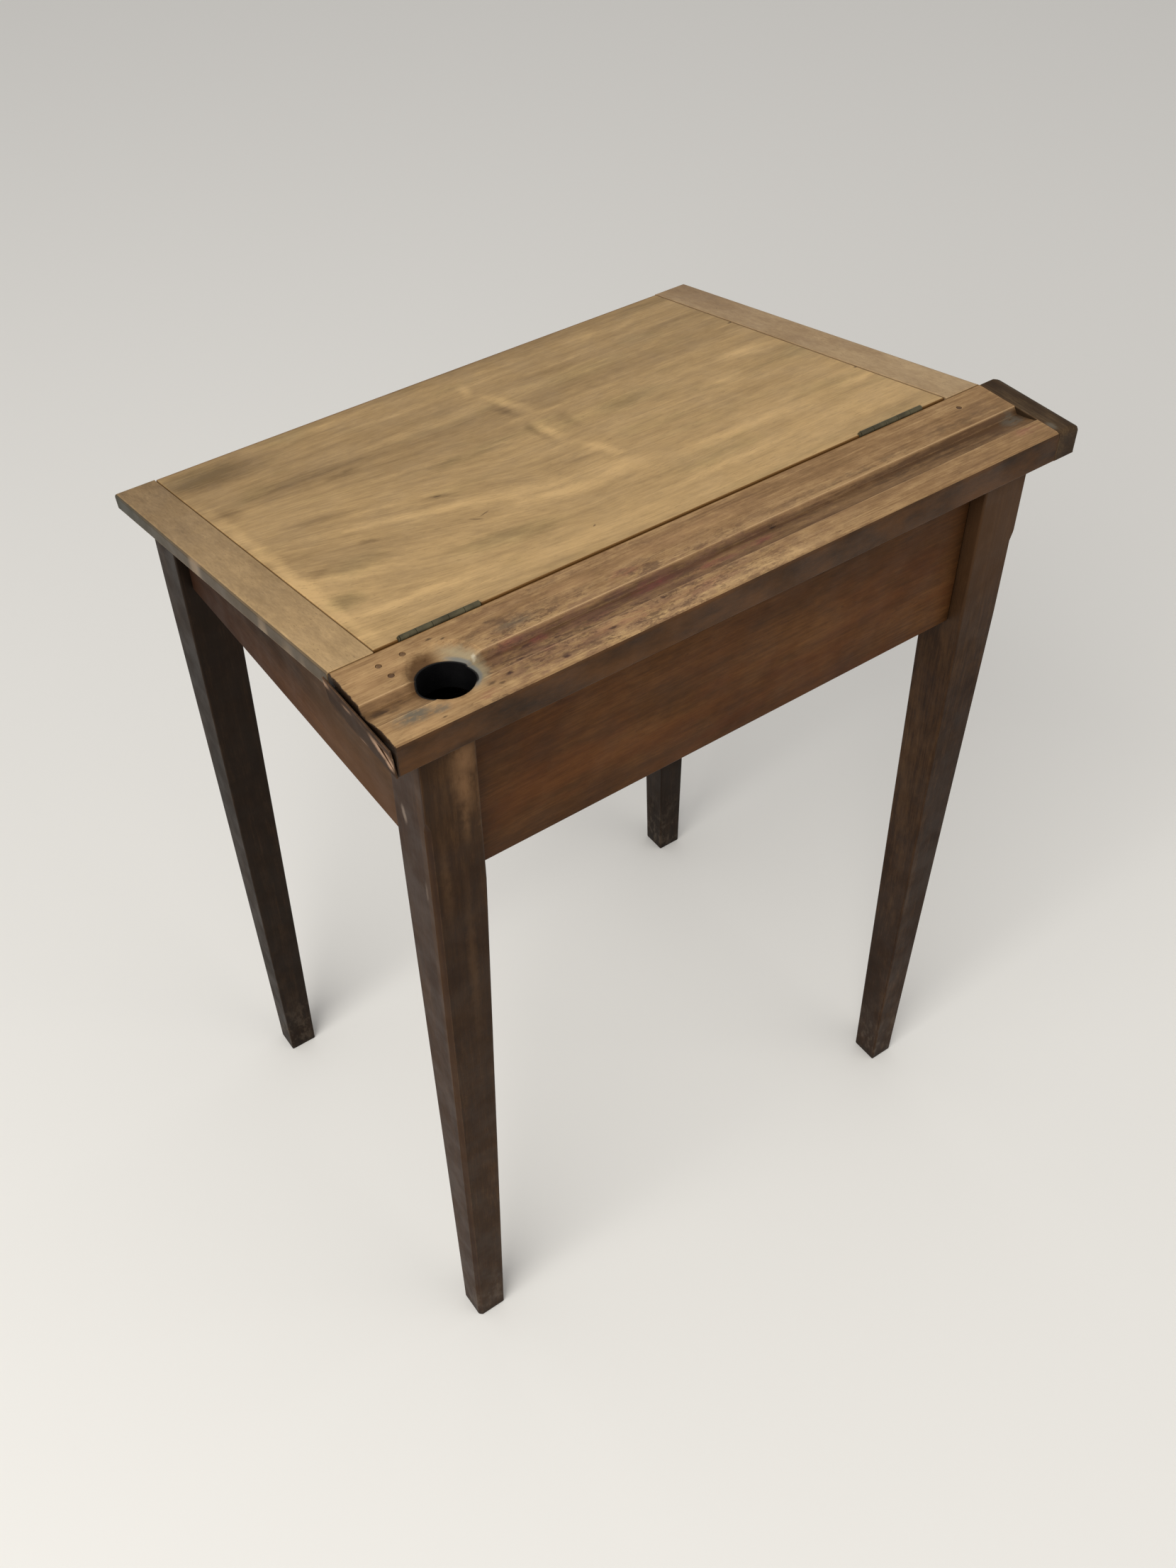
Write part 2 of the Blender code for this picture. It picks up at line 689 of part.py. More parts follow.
def ink_dish_cutter():
    """A ball that scoops a shallow, worn dish, mostly before the ink hole."""
    radius = (INK_DISH_RADIUS ** 2 + INK_DISH_DEPTH ** 2) / (2 * INK_DISH_DEPTH)
    shape = bmesh.new()
    bmesh.ops.create_uvsphere(shape, u_segments=INK_SEGMENTS, v_segments=INK_SEGMENTS, radius=radius)
    ball = mesh_object("ink_dish_cutter", shape, CUTTERS, DESK)
    height = TOP_HEIGHT + radius - INK_DISH_DEPTH
    ball.location = (INK_X - INK_DISH_SHIFT_X, INK_Y - INK_DISH_SHIFT_Y, height)
    return ball


def ink_pocket_cutter():
    """Below the rail a square pocket for the pot runs into the leg and the aprons."""
    half = INK_RADIUS + INK_POCKET_ROOM
    back = min(INK_Y + half, BACK_OUTER_Y - INK_POCKET_WALL)
    low = (INK_X - half, INK_Y - half, TOP_HEIGHT - INK_POCKET_DEPTH)
    high = (INK_X + half, back, RAIL_LOW_Z + CUT_OVERRUN)
    return box("ink_pocket_cutter", low, high, CUTTERS)


def make_rail_ends():
    """A block closes the groove at one end, a loose slip faces the other."""
    near = RAIL_FRONT_Y + CAP_FRONT_INSET
    inner = -RAIL_END_X - SEAT_GAP
    low = (inner - CAP_LENGTH, near, RAIL_LOW_Z)
    high = (inner, RAIL_BACK_Y, TOP_HEIGHT)
    cap = box("rail_end_cap", low, high)
    size = Vector(high) - Vector(low)

    def weight_of(place):
        outer = place.x < -size.x / 4
        top = place.z > size.z / 4
        back = place.y > size.y / 4
        if outer and abs(place.z) < size.z / 4:
            return CAP_BACK_CORNER_RADIUS / CAP_CORNER_RADIUS if back else 1
        if outer and top:
            return CAP_TOP_RADIUS / CAP_CORNER_RADIUS
        if back and top:
            return CAP_TOP_BACK_RADIUS / CAP_CORNER_RADIUS
        return CAP_EDGE_RADIUS / CAP_CORNER_RADIUS

    weigh_edges(cap, weight_of)
    soften(cap, CAP_CORNER_RADIUS, 5, weighted=True)
    finish(cap, CAP_BROWN, 0.6)

    foot = RAIL_END_X + SEAT_GAP
    head = foot + FACING_LEAN
    outline = [
        (foot, RAIL_LOW_Z),
        (foot + FACING_THICK, RAIL_LOW_Z),
        (head + FACING_THICK, TOP_HEIGHT),
        (head, TOP_HEIGHT),
    ]
    facing = extruded("rail_end_facing", outline, -RAIL_BACK_Y, -near, ALONG_Y)
    soften(facing, FACING_ROUND, 1)
    chip_x = foot + FACING_THICK + FACING_LEAN / 2 - CHIP_DEPTH
    chip_outline = [
        (RAIL_BACK_Y + CUT_OVERRUN, TOP_HEIGHT - RAIL_THICK / 4),
        (RAIL_BACK_Y - CHIP_LENGTH, TOP_HEIGHT - RAIL_THICK / 4),
        (RAIL_BACK_Y + CUT_OVERRUN, TOP_HEIGHT - RAIL_THICK / 4 - CHIP_HEIGHT),
    ]
    chip = extruded("facing_chip_cutter", chip_outline, chip_x, chip_x + CUT_OVERRUN, ALONG_X, CUTTERS)
    cut(facing, chip)
    finish(facing, FACING_BROWN, 0.6)


def nail_place(side, across_share, along_share):
    middle = (SIDE_OUTER_X + SIDE_INNER_X) / 2
    x = side * (middle + across_share * APRON_THICK / 2)
    y = RAIL_FRONT_Y + along_share * (LEG_INNER_BACK_Y - RAIL_FRONT_Y)
    return Vector((x, y, TOP_HEIGHT - NAIL_SINK))


def make_nails():
    """Lost-head nails through the rail into the side aprons, with their holes."""
    holes = {-1: [], 1: []}
    for name, (side, across_share, along_share) in NAIL_SHARES.items():
        head = nail_place(side, across_share, along_share)
        nail = turned(
            name,
            [
                (0, 0),
                (NAIL_HEAD_RADIUS, 0),
                (NAIL_HEAD_RADIUS, -NAIL_HEAD_LENGTH),
                (NAIL_SHANK_RADIUS, -NAIL_HEAD_LENGTH - NAIL_HEAD_RADIUS / 2),
                (NAIL_SHANK_RADIUS, -NAIL_LENGTH + SCREW_POINT_LENGTH),
                (0, -NAIL_LENGTH),
            ],
        )
        nail.location = head
        finish(nail, NAIL_METAL, 0.6, 0.7)
        holes[side].append(cylinder(
            name + "_head_hole", NAIL_HEAD_RADIUS + SEAT_GAP,
            head - Vector((0, 0, NAIL_HEAD_LENGTH + NAIL_HEAD_RADIUS)),
            head + Vector((0, 0, CUT_OVERRUN)), TURNED_STEPS, CUTTERS,
        ))
        holes[side].append(cylinder(
            name + "_hole", NAIL_SHANK_RADIUS + SEAT_GAP,
            head - Vector((0, 0, NAIL_LENGTH + SEAT_GAP)), head, TURNED_STEPS, CUTTERS,
        ))
    return holes


def wood_screw(name, head_radius, shank_radius, length, slot, parent, location, rotation):
    """A slotted countersunk screw, its head flush with its own origin."""
    head_depth = head_radius - shank_radius
    screw = turned(
        name,
        [
            (0, 0),
            (head_radius, 0),
            (shank_radius, -head_depth),
            (shank_radius, -length + SCREW_POINT_LENGTH),
            (0, -length),
        ],
        parent,
    )
    screw.location = location
    screw.rotation_euler = rotation
    reach = head_radius + CUT_OVERRUN
    slot_box = box(name + "_slot", (-reach, -slot / 2, -slot), (reach, slot / 2, CUT_OVERRUN), CUTTERS)
    slot_box.parent = screw
    cut(screw, slot_box)
    finish(screw, HINGE_METAL, 0.45, 0.9)
    return screw


def screw_holes(name, head_radius, shank_radius, length, parent, location, rotation):
    """Cutters for a screw's countersink and its pilot hole."""
    turn = rotation.to_matrix()
    out = turn @ Vector((0, 0, 1))
    head_depth = head_radius - shank_radius
    mouth = Vector(location)
    sink = cylinder(
        name + "_sink", shank_radius + SEAT_GAP,
        mouth - out * head_depth, mouth + out * CUT_OVERRUN,
        TURNED_STEPS, CUTTERS, parent, top_radius=head_radius + SEAT_GAP + CUT_OVERRUN,
    )
    pilot = cylinder(
        name + "_pilot", shank_radius + SEAT_GAP,
        mouth - out * (length + SEAT_GAP), mouth + out * CUT_OVERRUN, TURNED_STEPS, CUTTERS, parent,
    )
    return sink, pilot


def knuckles(name, middle_x, parent, parity, radius, extra):
    """Barrel lengths of one leaf, as cylinders along the hinge axis."""
    pitch = HINGE_LENGTH / KNUCKLE_COUNT
    made = []
    for index in range(parity, KNUCKLE_COUNT, 2):
        start = middle_x - HINGE_LENGTH / 2 + index * pitch - extra
        end = start + pitch + 2 * extra
        made.append(cylinder(
            f"{name}_{index}", radius, (start, 0, 0), (end, 0, 0),
            KNUCKLE_SEGMENTS, CUTTERS, parent,
        ))
    return made


def lid_leaf_faces():
    """The lid leaf's front and back, from the hinge axis, behind the rail leaf."""
    back = HINGE_TO_RAIL - SEAT_GAP - LEAF_THICK - LEAF_ROOM
    return back - LEAF_THICK, back


def lid_pocket(name, middle_x, plumb):
    """A cutter that lets a hinge's leaf into the lid's back edge."""
    reach = HINGE_LENGTH / 2 + SEAT_GAP
    low = (middle_x - reach, lid_leaf_faces()[0] - SEAT_GAP, -LEAF_HEIGHT - SEAT_GAP)
    return box(name, low, (middle_x + reach, CUT_OVERRUN, CUT_OVERRUN), CUTTERS, plumb)


def make_leaf(name, middle_x, parent, toward_rail, tilt):
    """A butt hinge leaf: a plumb plate with its share of the barrel."""
    parity = 0 if toward_rail else 1
    side = 1 if toward_rail else -1
    far = HINGE_TO_RAIL - SEAT_GAP
    if toward_rail:
        faces = (far - LEAF_THICK, far)
    else:
        faces = lid_leaf_faces()
    half = HINGE_LENGTH / 2
    holder = new_empty(name + "_plumb", parent, tilt=tilt)
    leaf = box(
        name, (middle_x - half, faces[0], -LEAF_HEIGHT),
        (middle_x + half, faces[1], -KNUCKLE_RADIUS / 2), PIECES, holder,
    )
    for knuckle in knuckles(name + "_knuckle", middle_x, holder, parity, KNUCKLE_RADIUS, -SEAT_GAP / 2):
        combine(leaf, knuckle, "UNION")
    room = KNUCKLE_RADIUS + SEAT_GAP
    cut(leaf, *knuckles(name + "_room", middle_x, holder, 1 - parity, room, SEAT_GAP / 2))
    bore = cylinder(
        name + "_bore", PIN_RADIUS + SEAT_GAP,
        (middle_x - half - CUT_OVERRUN, 0, 0), (middle_x + half + CUT_OVERRUN, 0, 0),
        KNUCKLE_SEGMENTS, CUTTERS, holder,
    )
    cut(leaf, bore)
    face_y = faces[0] if toward_rail else faces[1]
    rotation = Vector((0, -side, 0)).to_track_quat("Z", "Y").to_euler()
    holes = []
    for number in (-1, 0, 1):
        place = Vector((middle_x + number * HINGE_SCREW_SPACING, face_y, -HINGE_SCREW_DROP))
        screw_name = f"{name}_screw_{number + 2}"
        sizes = (HINGE_SCREW_HEAD, HINGE_SCREW_SHANK, HINGE_SCREW_LENGTH)
        wood_screw(screw_name, *sizes, HINGE_SCREW_SLOT, holder, place, rotation)
        sink, pilot = screw_holes(screw_name, *sizes, holder, place, rotation)
        cut(leaf, sink, pilot)
        holes.append(pilot)
    finish(leaf, HINGE_METAL, 0.5, 0.85)
    return holes


def make_hinges(lid_axis, lid_plumb):
    """Two butt hinges. Gives the cutters that the rail and the lid need."""
    rail_cutters = []
    lid_cutters = []
    hinge_axis = new_empty("hinge_line", DESK, (0, HINGE_Y, TOP_HEIGHT))
    places = {
        "right": LID_HALF_WIDTH - HINGE_INSET_RIGHT,
        "left": HINGE_INSET_LEFT - LID_HALF_WIDTH,
    }
    for side_name, middle_x in places.items():
        name = "hinge_" + side_name
        rail_cutters += make_leaf(name + "_rail_leaf", middle_x, hinge_axis, True, 0)
        lid_cutters += make_leaf(name + "_lid_leaf", middle_x, lid_axis, False, -SLOPE)
        pin = turned(
            name + "_pin",
            [
                (0, HINGE_LENGTH / 2 + SEAT_GAP + PIN_HEAD_LENGTH),
                (PIN_HEAD_RADIUS, HINGE_LENGTH / 2 + SEAT_GAP + PIN_HEAD_LENGTH),
                (PIN_HEAD_RADIUS, HINGE_LENGTH / 2 + SEAT_GAP),
                (PIN_RADIUS, HINGE_LENGTH / 2 + SEAT_GAP),
                (PIN_RADIUS, -HINGE_LENGTH / 2),
                (0, -HINGE_LENGTH / 2),
            ],
            hinge_axis,
        )
        pin.location = (middle_x, 0, 0)
        pin.rotation_euler.y = math.pi / 2
        finish(pin, HINGE_METAL, 0.4, 0.9)
        reach = HINGE_LENGTH / 2 + PIN_HEAD_LENGTH + 2 * SEAT_GAP
        lid_cutters.append(cylinder(
            name + "_notch", KNUCKLE_RADIUS + SEAT_GAP,
            (middle_x - reach, 0, 0), (middle_x + reach, 0, 0),
            KNUCKLE_SEGMENTS, CUTTERS, lid_axis,
        ))
        lid_cutters.append(lid_pocket(name + "_pocket", middle_x, lid_plumb))
    return rail_cutters, lid_cutters


def lid_outline(length):
    """The lid from above: straight sides and a front edge crowned by a hair."""
    half = LID_HALF_WIDTH
    rise = LID_CROWN
    crown_radius = (half ** 2 + rise ** 2) / (2 * rise)
    sweep = math.degrees(math.asin(half / crown_radius))
    centre = (0, -length - rise + crown_radius)
    outline = arc(centre, crown_radius, -90 - sweep, -90 + sweep, LID_CROWN_STEPS)
    outline += [(half, CUT_OVERRUN), (-half, CUT_OVERRUN)]
    return outline


def make_lid(lid_axis, lid_plumb, hinge_cutters):
    """The lid lies in its axis's own tilted frame, its top through the axis."""
    length = (HINGE_Y - FRONT_Y - LID_SETBACK) / math.cos(SLOPE)
    lid = extruded("lid_panel", lid_outline(length), -TOP_BOARD_THICK, 0, Matrix(), PIECES, lid_axis)
    reach = LID_HALF_WIDTH + CUT_OVERRUN
    back = box(
        "lid_back_cutter", (-reach, HINGE_TO_RAIL - LID_BACK_GAP, -RAIL_THICK),
        (reach, HINGE_TO_RAIL + 2 * CUT_OVERRUN, RAIL_THICK), CUTTERS, lid_plumb,
    )
    cut(lid, back)
    soften(lid, LID_ROUND)
    cut(lid, *hinge_cutters)
    cut(lid, *make_battens(lid_axis, length))
    finish(lid, LID_TAN, 0.45)


def make_battens(lid_axis, length):
    """Two battens across the lid's grain. Gives the lid's pilot holes."""
    pilots = []
    top = -TOP_BOARD_THICK - SEAT_GAP
    low = top - BATTEN_THICK
    start = -length + BATTEN_FRONT_INSET
    end = -BATTEN_BACK_INSET
    first = start + BATTEN_SCREW_END_INSET
    pitch = (end - BATTEN_SCREW_END_INSET - first) / (BATTEN_SCREW_COUNT - 1)
    down = Vector((0, 0, -1)).to_track_quat("Z", "Y").to_euler()
    for side, side_name in ((-1, "left"), (1, "right")):
        name = "lid_batten_" + side_name
        middle = side * BATTEN_SPACING / 2
        half = BATTEN_WIDTH / 2
        batten = box(name, (middle - half, start, low), (middle + half, end, top), PIECES, lid_axis)
        soften(batten, APRON_ROUND)
        for number in range(BATTEN_SCREW_COUNT):
            place = Vector((middle, first + number * pitch, low))
            screw_name = f"{name}_screw_{number + 1}"
            sizes = (BATTEN_SCREW_HEAD, BATTEN_SCREW_SHANK, BATTEN_SCREW_LENGTH)
            wood_screw(screw_name, *sizes, BATTEN_SCREW_SLOT, lid_axis, place, down)
            sink, pilot = screw_holes(screw_name, *sizes, lid_axis, place, down)
            cut(batten, sink, pilot)
            pilots.append(pilot)
        finish(batten, INSIDE_BROWN, 0.7)
    return pilots


def centre_on_floor():
    """Moves the desk so that the origin is under the middle of its box."""
    depsgraph = bpy.context.evaluated_depsgraph_get()
    places = []
    for piece in PIECES.objects:
        if piece.type == "MESH":
            solid = piece.evaluated_get(depsgraph)
            places += [solid.matrix_world @ vertex.co for vertex in solid.data.vertices]
    for axis in (0, 1):
        values = [place[axis] for place in places]
        DESK.location[axis] = -(min(values) + max(values)) / 2
    DESK.location.z = -min(place.z for place in places)


clear_scene()
PIECES = new_collection("school_desk")
CUTTERS = new_collection("cutters")
DESK = new_empty("desk")
LID_AXIS = new_empty("lid_axis", DESK, (0, HINGE_Y, TOP_HEIGHT), SLOPE)
LID_PLUMB = new_empty("lid_plumb", LID_AXIS, tilt=-SLOPE)

pocket = ink_pocket_cutter()
nail_holes = make_nails()
rail_hinge_cutters, lid_hinge_cutters = make_hinges(LID_AXIS, LID_PLUMB)
make_legs(pocket)
make_side_aprons(pocket, nail_holes)
make_back_apron(pocket)
make_front_apron()
make_book_box()
make_strips()
make_rail(nail_holes, rail_hinge_cutters)
make_rail_ends()
make_lid(LID_AXIS, LID_PLUMB, lid_hinge_cutters)
centre_on_floor()
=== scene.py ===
"""Finish, light and camera for the small wooden school desk.

Metres, +Z up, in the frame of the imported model. The pupil sits on the -Y
side, the pen rail is at +Y and its ink hole is at +X.
"""

import json
from math import radians

import bpy
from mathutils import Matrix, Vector


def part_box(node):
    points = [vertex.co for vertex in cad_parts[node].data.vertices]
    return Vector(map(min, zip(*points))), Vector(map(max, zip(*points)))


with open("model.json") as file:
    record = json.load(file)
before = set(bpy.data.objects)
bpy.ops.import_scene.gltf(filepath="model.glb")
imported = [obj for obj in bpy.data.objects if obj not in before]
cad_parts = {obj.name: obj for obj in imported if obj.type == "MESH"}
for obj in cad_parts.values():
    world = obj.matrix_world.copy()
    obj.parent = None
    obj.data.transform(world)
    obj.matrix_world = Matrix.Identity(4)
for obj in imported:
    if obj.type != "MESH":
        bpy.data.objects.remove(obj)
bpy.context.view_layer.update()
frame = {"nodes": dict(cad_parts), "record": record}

# Camera
FOCAL_LENGTH = 36.50
SENSOR_HEIGHT = 36.0
CAMERA_PLACE = (0.5166, 0.7457, 1.2699)
CAMERA_TURN = (0.7766, 0.0099, -3.7593)

# Light all round, and each lamp's name, place, size, watts and colour
SURROUND_COLOUR = (1.0, 0.98, 0.95, 1)
SURROUND_STRENGTH = 0.48
LAMPS = (
    ("window_lamp", (2.4, 1.2, 2.6), 2.6, 92, (1.0, 0.97, 0.91)),
    ("room_lamp", (-1.5, 2.5, 1.5), 2.4, 14, (1.0, 0.95, 0.88)),
)
LAMP_AIM = Vector((0, 0, 0.5))

# Floor: its width, the colour it shows, and the darker one that it throws back on the desk
FLOOR_WIDTH = 14
FLOOR_SHOWN = (0.88, 0.875, 0.86, 1)
FLOOR_THROWN = (0.26, 0.25, 0.24, 1)
FLOOR_SPECULAR = 0.2
FLOOR_ROUGHNESS = 0.9

# Places on the desk, from its solids
OPENINGS = {opening["name"]: opening["box_m"] for opening in frame["record"]["physics"]["openings"]}
INK_X, INK_Y = ((low + high) / 2 for low, high in list(zip(*OPENINGS["ink_hole"]))[:2])
POCKET_LOW, POCKET_HIGH = OPENINGS["ink_pocket"]
POCKET_WALL_REACH = 0.0010
GROOVE_ROUNDING = 0.0023
GROOVE_WIDTH = 0.0202
GROOVE_Y = OPENINGS["pen_groove"][0][1] - GROOVE_ROUNDING
RIDGE_Y = GROOVE_Y + GROOVE_WIDTH
RAIL_LOW, RAIL_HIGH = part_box("pen_rail")
TOP_Z = RAIL_HIGH.z
LID_LOW, LID_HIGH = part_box("lid_panel")
STRIP_LOW, STRIP_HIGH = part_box("strip_right")
STRIP_MIDDLE_Z = (STRIP_LOW.z + STRIP_HIGH.z) / 2
LEG_BACK_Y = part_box("leg_back_right")[1].y
FACING_LOW, FACING_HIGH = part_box("rail_end_facing")


def rgb(red, green, blue):
    """A colour given as it looks on a screen, 0 to 255, made linear by the sRGB curve."""
    made = []
    for value in (red, green, blue):
        value = value / 255
        made.append(value / 12.92 if value <= 0.04045 else ((value + 0.055) / 1.055) ** 2.4)
    return (*made, 1)


# Dark, middle and light tone of each wood
LID_TONES = (rgb(124, 98, 62), rgb(172, 141, 96), rgb(212, 176, 122))
LEFT_STRIP_TONES = (rgb(118, 92, 66), rgb(158, 130, 96), rgb(196, 168, 128))
RIGHT_STRIP_TONES = (rgb(112, 88, 58), rgb(160, 132, 93), rgb(202, 169, 122))
RAIL_TONES = (rgb(88, 63, 40), rgb(146, 114, 78), rgb(196, 162, 116))
NEAR_LEG_TONES = (rgb(30, 19, 10), rgb(57, 38, 21), rgb(98, 70, 44))
FAR_LEG_TONES = (rgb(27, 17, 9), rgb(48, 31, 18), rgb(92, 66, 42))
# The front legs' tones are darkened with painted shade
FRONT_LEG_SHADED_TONES = (rgb(17, 11, 6), rgb(34, 23, 14), rgb(62, 45, 30))
BACK_APRON_TONES = (rgb(48, 29, 13), rgb(81, 52, 27), rgb(114, 76, 42))
SIDE_APRON_TONES = (rgb(34, 22, 13), rgb(63, 44, 29), rgb(98, 71, 49))
FRONT_APRON_TONES = (rgb(34, 22, 12), rgb(60, 40, 23), rgb(92, 64, 40))
CAP_TONES = (rgb(38, 27, 17), rgb(62, 47, 32), rgb(98, 79, 56))
FACING_TONES = (rgb(32, 21, 13), rgb(57, 40, 27), rgb(96, 70, 49))
BARE_TONES = (rgb(118, 92, 62), rgb(150, 121, 84), rgb(176, 146, 106))

# Dark and light tone of each metal
NAIL_IRON = (rgb(92, 66, 42), rgb(138, 106, 70))
HINGE_STEEL = (rgb(70, 64, 46), rgb(92, 86, 64))
SCREW_STEEL = (rgb(70, 64, 52), rgb(130, 122, 100))

# Stains and marks, with the colours of painted shade and shadow among them
HAND_GREY = rgb(216, 228, 214)
LID_SPECK = rgb(84, 62, 38)
LID_FRONT_BROWN = rgb(112, 76, 44)
SEAM_BROWN = rgb(104, 68, 24)
STRIP_EDGE = rgb(74, 62, 46)
STRIP_EDGE_GREEN = rgb(46, 48, 38)
STRIP_SCUFF = rgb(140, 120, 96)
RAIL_TAN_TONE = rgb(190, 152, 108)
RAIL_STREAK = rgb(112, 80, 56)
RAIL_DIRT = rgb(66, 50, 40)
RAIL_ARRIS = rgb(196, 164, 124)
RAIL_BACK_VARNISH = (rgb(44, 28, 13), rgb(86, 56, 29))
RAIL_UNDERSIDE = rgb(120, 92, 62)
# Painted shadow in the gap at the rail's +X end
RAIL_END_GAP_SHADOW = rgb(50, 35, 22)
# Black of ink and painted shade, in the ink hole and the pocket under it
INK_AND_SHADE_BLACK = rgb(7, 7, 9)
INK_PINK = rgb(132, 64, 66)
INK_BLUE_GREY = rgb(98, 94, 84)
INK_SPECK = rgb(44, 30, 24)
INK_SOAKED = rgb(104, 70, 62)
INK_FRECKLE = rgb(78, 55, 44)
RIM_BROWN = rgb(84, 57, 30)
RIM_CHALKY = rgb(160, 148, 120)
RIM_LIP = rgb(112, 116, 116)
RIM_CHALK = rgb(214, 206, 184)
VARNISH_BLOTCH = rgb(176, 150, 132)
VARNISH_RED = rgb(92, 50, 24)
LEG_RUBBED = rgb(136, 102, 71)
# Painted cool shade on the near leg's +X face
LEG_SIDE_COOL_SHADE = rgb(50, 33, 25)
LEG_LINE_BROWN = rgb(84, 60, 40)
LEG_CHIP = rgb(168, 150, 134)
FAR_LEG_TOP = rgb(88, 62, 40)
# Painted shadow of the lid on the front legs' tops
FRONT_LEG_LID_SHADOW = rgb(20, 13, 8)
FOOT_DUST = rgb(112, 98, 84)
# Painted contact shadow at the foot of each leg
FOOT_CONTACT_SHADOW = rgb(48, 40, 34)
SIDE_LOW_BROWN = rgb(94, 58, 34)
SIDE_FRONT_GREY = rgb(156, 142, 132)
SIDE_REAR_PALE = rgb(108, 82, 60)
BOX_INK = rgb(52, 48, 58)
BOX_DUST = rgb(128, 112, 92)
CAP_DUST = rgb(112, 108, 98)
FACING_CHIP = rgb(192, 158, 132)
# Painted shadow in the gap between the facing and the rail
FACING_GAP_SHADOW = rgb(26, 18, 12)

# How a wood's arrises are rubbed: colour, amount and rounding
LID_WORN = (rgb(190, 158, 112), 0.25, 0.002)
STRIP_WORN = (rgb(178, 146, 106), 0.45, 0.0025)
RAIL_WORN = (rgb(186, 150, 110), 0.45, 0.0016)
LEG_RUB = (0.38, 0.0022)
NEAR_LEG_WORN = rgb(128, 98, 70)
BACK_APRON_WORN = (rgb(126, 92, 62), 0.5, 0.002)
SIDE_APRON_WORN = (rgb(134, 104, 78), 0.6, 0.002)
FRONT_APRON_WORN = (rgb(130, 98, 70), 0.6, 0.002)
BARE_WORN = (rgb(184, 154, 112), 0.4, 0.002)
CAP_WORN = (rgb(142, 112, 84), 0.7, 0.002)
FACING_WORN = (rgb(144, 112, 86), 0.5, 0.0016)

# Painted shade, with soiling, in each wood's corners: colour, amount and reach
PALE_CORNER_SOIL_AND_SHADE = (rgb(110, 84, 56), 0.35, 0.006)
RAIL_CORNER_SOIL_AND_SHADE = (rgb(92, 66, 46), 0.5, 0.006)
LEG_CORNER_SOIL_AND_SHADE = (rgb(96, 74, 58), 0.5, 0.02)
BACK_APRON_CORNER_SOIL_AND_SHADE = (rgb(100, 78, 60), 0.6, 0.03)
SIDE_APRON_CORNER_SOIL_AND_SHADE = (rgb(100, 80, 66), 0.6, 0.03)
FRONT_APRON_CORNER_SOIL_AND_SHADE = (rgb(100, 80, 64), 0.6, 0.03)
BARE_CORNER_SOIL_AND_SHADE = (rgb(92, 74, 56), 0.6, 0.03)
CAP_CORNER_SOIL_AND_SHADE = (rgb(84, 66, 50), 0.6, 0.01)
FACING_CORNER_SOIL_AND_SHADE = (rgb(84, 66, 52), 0.6, 0.01)

# Roughness where it is smooth and where it is rough, and the relief of the grain
SANDED = (0.48, 0.66, 0.16)
RAIL_SURFACE = (0.46, 0.68, 0.35)
LEG_VARNISH = (0.46, 0.62, 0.30)
BACK_APRON_VARNISH = (0.46, 0.62, 0.22)
FRONT_APRON_VARNISH = (0.46, 0.62, 0.24)
SIDE_APRON_VARNISH = (0.60, 0.76, 0.24)
CAP_VARNISH = (0.40, 0.60, 0.30)
FACING_VARNISH = (0.62, 0.78, 0.30)
UNVARNISHED = (0.62, 0.80, 0.30)

# Specular level of each kind of surface
SANDED_SPECULAR = 0.35
BARE_SPECULAR = 0.25
RAIL_SPECULAR = 0.2
VARNISH_SPECULAR = 0.1
METAL_SPECULAR = 0.5


